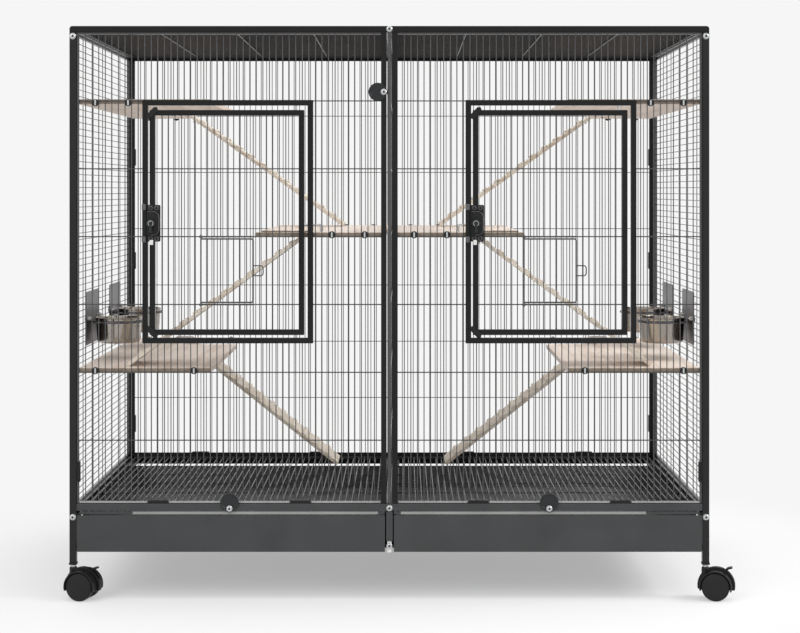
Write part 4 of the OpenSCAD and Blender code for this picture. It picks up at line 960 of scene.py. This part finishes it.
def build_ramps():
    length, thick, rungs = 400, 7, 12
    top, middle, lower, grate = (box(node)[1].z for node in ("top_shelves", "middle_shelves", "lower_shelves",
                                                             "left_grate"))
    # Name, edge of the notch, way down from it, lane, and the heights that it joins
    flights = (("upper", side_notch, -1, lane_y, top, middle),
               ("middle", mid_notch, 1, -lane_y, middle, lower),
               ("lower", side_notch, -1, lane_y, lower, grate))
    hooks = Shape(zinc)
    for name, edge, toward, y, upper_z, foot in flights:
        s = Shape(ramp_wood)
        z = upper_z - 2
        angle = math.asin((z - foot - 0.3) / math.hypot(length, thick)) - math.atan(thick / length)
        start = edge + toward * (1.5 + thick * math.sin(angle))
        for flip in (HERE, MIRROR_X):
            turn = Matrix.Rotation(math.pi if toward < 0 else 0, 4, "Z") @ Matrix.Rotation(angle, 4, "Y")
            s.place = flip @ Matrix.Translation((start, y, z)) @ turn
            s.bar((0, -ramp_width / 2, -thick), (length, ramp_width / 2, 0), 0.9)
            for x in spread(0, length, rungs + 1):
                s.bar((x - 4, -ramp_width / 2 + 0.4, -0.5), (x + 4, ramp_width / 2 - 0.4, 3), 1.3)
            hooks.place = flip
            for side_y in (y - 35, y + 35):
                inner, outer = edge - toward * 24, edge + toward * 14
                path = [(inner, side_y, upper_z - 8), (inner, side_y, upper_z + 12),
                        (outer, side_y, upper_z + 12), (outer, side_y, upper_z - 22)]
                hooks.pipe(bent(path, 5), 3, sides=12)
        s.piece(name + "_ramp_planks", "frame", "pale_wood", name + "_ramps")
    hooks.piece("ramp_staples", "frame", "zinc_steel", "ramp_hooks")


side_face = hx - border_depth
BOWL = [(0, 0.8), (31, 0.8), (33, 0), (36, 0), (38.4, 0.7), (39.8, 2.2), (40.6, 5), (41.9, 21), (43.2, 42),
        (43.6, 45.5), (44.2, 45.8), (44.6, 46.6), (44.5, 47.5), (43.9, 48.0), (43.2, 47.9), (42.5, 47.0),
        (42.1, 42), (40.8, 21), (39.4, 5.4), (38, 3), (35, 1.8), (0, 1.8)]
BOLT_HEAD = [(2, 0), (6.3, 0), (6.5, 0.4), (6.3, 1), (3.9, 1), (3.7, 1.9), (2.6, 2.4), (0, 2.4)]
NUT_BODY = [(2, 0), (4.6, 0), (4.6, 0.8), (3.9, 4.8), (3.5, 5.8), (2.1, 6)]


def build_bowls():
    holder = Shape(plate_steel)
    nuts = Shape(zinc)
    low, high = box("bowl_holders")
    plate_z = (low.z + high.z) / 2
    plate_thick, ring_r, arm_y, bolt_y = 1.5, 46.25, 38, 54
    face_x = side_face - plate_thick
    for node in ("left_front_bowl", "left_back_bowl", "right_front_bowl", "right_back_bowl"):
        low, high = box(node)
        x, y, base = (low.x + high.x) / 2, (low.y + high.y) / 2, low.z
        toward = 1 if x > 0 else -1
        s = Shape(bowl_steel)
        s.turned((x, y, base), UP, BOWL, 72)
        s.piece(node + "_dish", node, "stainless_steel", node)

        ring_z = base + 40
        ring = [(*p, ring_z) for p in arc((x, y), ring_r, 0, 360, 64)[:-1]]
        holder.pipe(ring, 4, closed=True, sides=14)
        face = toward * face_x
        reach = math.sqrt(ring_r ** 2 - arm_y ** 2)
        for dy in (-arm_y, arm_y):
            holder.rod((x + toward * reach, y + dy, ring_z), (face, y + dy, ring_z), 3.4, 14)
        plate_x = face_x if toward > 0 else -side_face
        holder.place = Matrix.Translation((plate_x, y, plate_z)) @ FACE_RIGHT
        holder.prism(rounded(136, 100, 7), 0, plate_thick, 0.3)
        holder.place = HERE
        for dy in (-bolt_y, bolt_y):
            wing_nut(nuts, face, y + dy, plate_z, -toward)
    holder.piece("bowl_rings_and_plates", "frame", "zinc_steel", "bowl_holders")
    nuts.piece("wing_nuts_and_bolts", "frame", "zinc_steel", "wing_nuts")


def wing_nut(s, x, y, z, inward):
    """A bolt through the wires with its washer outside, and a wing nut on the plate.

    inward is the way to the middle of the cage.
    """
    outer = x - inward * (1.5 + 0.2 + wire)
    s.turned((outer, y, z), (-inward, 0, 0), BOLT_HEAD, 28)
    s.rod((outer, y, z), (x + inward * 8, y, z), 4, 20)
    s.turned((x, y, z), (inward, 0, 0), NUT_BODY, 28)
    wing = [(3.4 * a, 4.2 * b) for a, b in arc((0, 0), 1, 0, 360, 24)[:-1]]
    for dy in (-6.8, 6.8):
        s.place = Matrix.Translation((x + inward * 5.8, y + dy, z))
        s.prism(wing, -1, 1, 0.5)
    s.place = HERE


# Drawers

def build_drawer(side):
    s = Shape(sheet_paint)
    s.place = side_place(side)
    low, high = box("right_drawer")
    wall, lip = 1.2, 18
    x0, x1 = low.x + 2, high.x - 4.5
    y0, y1 = -hy + wall, high.y
    z0, z1 = runner_top + 0.3, tray_top
    s.bar((low.x, -hy, low.z), (high.x, y0, high.z), 0.5)
    s.bar((lip_in, -hy, high.z - wall), (lip_out, -hy + lip, high.z - 0.3), 0.4)
    # The tray's walls and floor are painted lighter, which is painted light
    s.use(tray_lit_paint)
    s.bar((x0, y0 - 0.3, z0), (x1, y1, z0 + wall), 0.4)
    for a, b in (((x0, y0, z0), (x0 + wall, y1, z1)), ((x1 - wall, y0, z0), (x1, y1, z1)),
                 ((x0, y1 - wall, z0), (x1, y1, z1)), ((x0, y0 - 0.3, z0), (x1, y0 + wall, z1))):
        s.bar(a, b, 0.4)
    hem, rolled = wall / 2, 1.8
    path = [(x0 + hem, y0 + 1), (x0 + hem, y1 - hem), (x1 - hem, y1 - hem), (x1 - hem, y0 + 1)]
    s.pipe(bent([(*p, z1 - rolled / 2) for p in path], 3), rolled, sides=10)
    s.use(sheet_paint)
    s.bar((low.x + 0.4, -hy + 0.3, low.z), (high.x - 0.4, -hy + 2.6, low.z + 1.6), 0.6)
    s.piece(side + "_litter_drawer", side + "_drawer", "sheet_paint", side + "_drawer")


# Casters

wheel_radius, wheel_in, wheel_width = 25, 6.8, 16
trail = 19.5
axle = (trail, wheel_radius)
hood_radius, hood_cut, hood_half = 33.5, 18, 5.5
lever_x, lever_z = 36, 42
STEM_COLLAR = [(0, 0), (7, 0), (7, 20), (6.6, 22.5), (5.6, 24), (3.5, 24)]
STEM = [(3.5, 0), (5.4, 0), (5.4, 2.2), (3.5, 2.2), (3.5, 35), (3, 37), (0, 37)]
LEVER_HUB = [(1.6, 0), (2.7, 0), (3, 0.3), (3, 5.5), (2.7, 5.8), (1.6, 5.8)]
LEVER_ARM = [(34, 42), (38.6, 42), (38.8, 50), (40.4, 53.6), (43.4, 55.6), (47.4, 56.4), (48, 57), (48, 58.6),
             (47, 59.5), (42.6, 59.2), (38.4, 57.6), (35.4, 54), (34.2, 49)]
LEVER_PAD = [(38.8, 54.4), (43.4, 56), (47.6, 56.6), (48, 57.2), (48, 58.6), (47.2, 59.5), (42.6, 59.2),
             (38, 57.2)]


def wheel_profile():
    w = wheel_width
    tread = [(0, 0), (23.2, 0), (24.4, 0.5), (24.9, 1.6), (25, 3), (25, w - 4), (24.8, w - 2.6)]
    rim = [(24.2, w - 1.6), (23.2, w - 1.1), (22.6, w - 1.1), (22.3, w - 1.3), (22.0, w - 1.0)]
    return tread + rim + [(17, w - 0.5), (11, w - 0.2), (5, w - 0.05), (0, w)]


def caster_place(sx, sy):
    turn = math.radians(-15 + (180 if sy > 0 else 0))
    return Matrix.Translation((sx * post_x, sy * post_y, 0)) @ Matrix.Rotation(turn, 4, "Z")


def cap_arc(radius, steps=28):
    """Outline over the wheel, closed along the lower edge of the hood."""
    dip = math.degrees(math.asin((wheel_radius - hood_cut) / radius))
    return arc(axle, radius, -dip, 180 + dip, steps)


def notched(hood, low, inner):
    """The hood's outline with a step cut for the brake lever, above low and outside inner."""
    cut = [p[0] > inner and p[1] > low for p in hood]
    kept = [p for p, gone in zip(hood, cut) if not gone]
    first = cut.index(True)
    across = math.sqrt(hood_radius ** 2 - (low - wheel_radius) ** 2) + trail
    upper = math.sqrt(hood_radius ** 2 - (inner - trail) ** 2) + wheel_radius
    kept[first:first] = [(across, low), (inner, low), (inner, upper)]
    return kept


def build_caster(name, sx, sy, brake):
    place = caster_place(sx, sy)
    s = Shape(black_plastic)
    s.place = place @ FACE_FRONT
    half, slot = hood_half, 3.2
    hood = cap_arc(hood_radius)
    if brake:
        s.prism(hood, slot, half, 0.9)
        s.prism(hood, -half, -slot, 0.9)
        s.prism(notched(hood, 37.5, 31), -slot, slot, 0)
        s.use(zinc)
        s.place = HERE
        s.rod(place @ Vector((lever_x, -4.2, lever_z)), place @ Vector((lever_x, 4.2, lever_z)), 3, 20)
        s.use(black_plastic)
        s.place = place @ FACE_FRONT
    else:
        s.prism(hood, -half, half, 1.4)
    shell = cap_arc(29) + cap_arc(26.4)[::-1]
    for a, b in ((half - 0.3, 22), (-22, 0.3 - half)):
        s.prism(shell, a, b, 0.6)
    s.place = place
    s.turned((0, 0, 34), UP, STEM_COLLAR, 32)
    s.use(zinc)
    s.turned((0, 0, 57), UP, STEM, 28)
    s.piece(name + "_hood", name + "_caster", "black_plastic", name + "_caster")

    s = Shape(wheel_plastic)
    s.place = place
    for sign in (-1, 1):
        s.turned((trail, sign * wheel_in, wheel_radius), (0, sign, 0), wheel_profile(), 64)
    s.use(zinc)
    axle_half = wheel_in + wheel_width - 1
    s.rod((trail, -axle_half, wheel_radius), (trail, axle_half, wheel_radius), 6, 24)
    s.piece(name + "_wheel_pair", name + "_wheels", "wheel_plastic", name + "_wheels")

    if brake:
        s = Shape(black_plastic)
        s.place = place
        s.turned((lever_x, -2.9, lever_z), (0, 1, 0), LEVER_HUB, 24)
        s.place = place @ FACE_FRONT
        s.prism(LEVER_ARM, -2.9, 2.9, 0.7)
        s.prism(LEVER_PAD, -6, 6, 0.9)
        s.piece(name + "_brake_lever", name + "_brake", "black_plastic", name + "_brake")


# The whole cage

build_frame()
build_screws()
for side in ("left", "right"):
    build_front_panel(side)
    build_back_panel(side)
    build_side_panel(side)
    build_roof_panel(side)
    build_grate(side)
    build_drawer(side)
    build_door(side)
    build_hatch(side)
    build_latch(side)
build_divider()
build_clips()
build_keepers()
for node in disc_pivots:
    build_disc(node)
build_shelves()
build_ramps()
build_bowls()
for end, sy in (("front", -1), ("back", 1)):
    for side, sx in (("left", -1), ("right", 1)):
        build_caster(end + "_" + side, sx, sy, end == "front")


# Floor, camera and light

BACKGROUND = srgb(246, 246, 246)


def shown_rays(tree):
    """A socket that is 1 for camera, glossy and transmission rays."""
    path = tree.nodes.new("ShaderNodeLightPath")
    value = path.outputs["Is Camera Ray"]
    for ray in ("Is Glossy Ray", "Is Transmission Ray"):
        either = tree.nodes.new("ShaderNodeMath")
        either.operation = "MAXIMUM"
        tree.links.new(value, either.inputs[0])
        tree.links.new(path.outputs[ray], either.inputs[1])
        value = either.outputs[0]
    return value


def mix_shaders(tree, share, first, second, output):
    mix = tree.nodes.new("ShaderNodeMixShader")
    for socket, source in zip(mix.inputs, (share, first.outputs[0], second.outputs[0])):
        tree.links.new(source, socket)
    tree.links.new(mix.outputs[0], tree.nodes[output].inputs["Surface"])


def build_world():
    world = bpy.data.worlds.new("studio")
    bpy.context.scene.world = world
    world.use_nodes = True
    tree = world.node_tree
    soft, seen = tree.nodes["Background"], tree.nodes.new("ShaderNodeBackground")
    for node, colour, strength in ((soft, (1, 1, 1, 1), 0.98), (seen, BACKGROUND, 1.0)):
        node.inputs["Color"].default_value = colour
        node.inputs["Strength"].default_value = strength
    mix_shaders(tree, shown_rays(tree), soft, seen, "World Output")


def build_floor():
    """A pale floor that fades into the background's colour away from the cage."""
    n = Nodes("studio_floor", 0.8, Base_Color=srgb(220, 220, 220), Specular_IOR_Level=0.1)
    glow = n.make("ShaderNodeEmission", Color=BACKGROUND)
    distance = n.make("ShaderNodeVectorMath", Vector=n.where)
    distance.operation = "LENGTH"
    fade = n.make("ShaderNodeMapRange", Value=distance.outputs["Value"], From_Min=0.5, From_Max=1.15,
                  To_Min=0.38)
    fade.interpolation_type = "SMOOTHSTEP"
    mix_shaders(n.tree, fade.outputs["Result"], n.shader, glow, "Material Output")
    mesh = bpy.data.meshes.new("floor")
    reach = 14
    corners = [(-reach, -reach, 0), (reach, -reach, 0), (reach, reach, 0), (-reach, reach, 0)]
    mesh.from_pydata(corners, [], [(0, 1, 2, 3)])
    mesh.materials.append(n.material)
    new_object("floor", mesh)


def area_light(name, place, target, size, power):
    light = bpy.data.lights.new(name, "AREA")
    light.shape = "RECTANGLE"
    light.size, light.size_y = size
    light.energy = power
    made = new_object(name, light)
    made.location = place
    made.rotation_euler = (Vector(target) - Vector(place)).to_track_quat("-Z", "Y").to_euler()


def build_camera():
    """The photograph's camera looks straight along +Y, with its axis above the middle of the frame."""
    camera = bpy.data.cameras.new("camera")
    camera.sensor_width = 36
    camera.lens = 79.8
    camera.shift_x = -0.006
    camera.shift_y = -0.158
    made = new_object("camera", camera)
    made.location = (0.0277, -3.523, 0.735)
    made.rotation_euler = (math.pi / 2, 0, 0)
    bpy.context.scene.camera = made


build_world()
build_floor()
area_light("key", (-2.4, -3.4, 3.0), (0, 0, 0.55), (2.4, 2.4), 60)
area_light("fill", (2.8, -2.6, 1.8), (0, 0, 0.5), (2.2, 2.2), 16)
area_light("right", (3.4, -0.6, 2.6), (0.3, -0.1, 0.4), (1.6, 1.6), 110)
area_light("overhead", (0, 0.3, 3.4), (0, 0, 0.5), (3.0, 2.4), 34)
build_camera()
bpy.context.scene.view_settings.view_transform = "Standard"
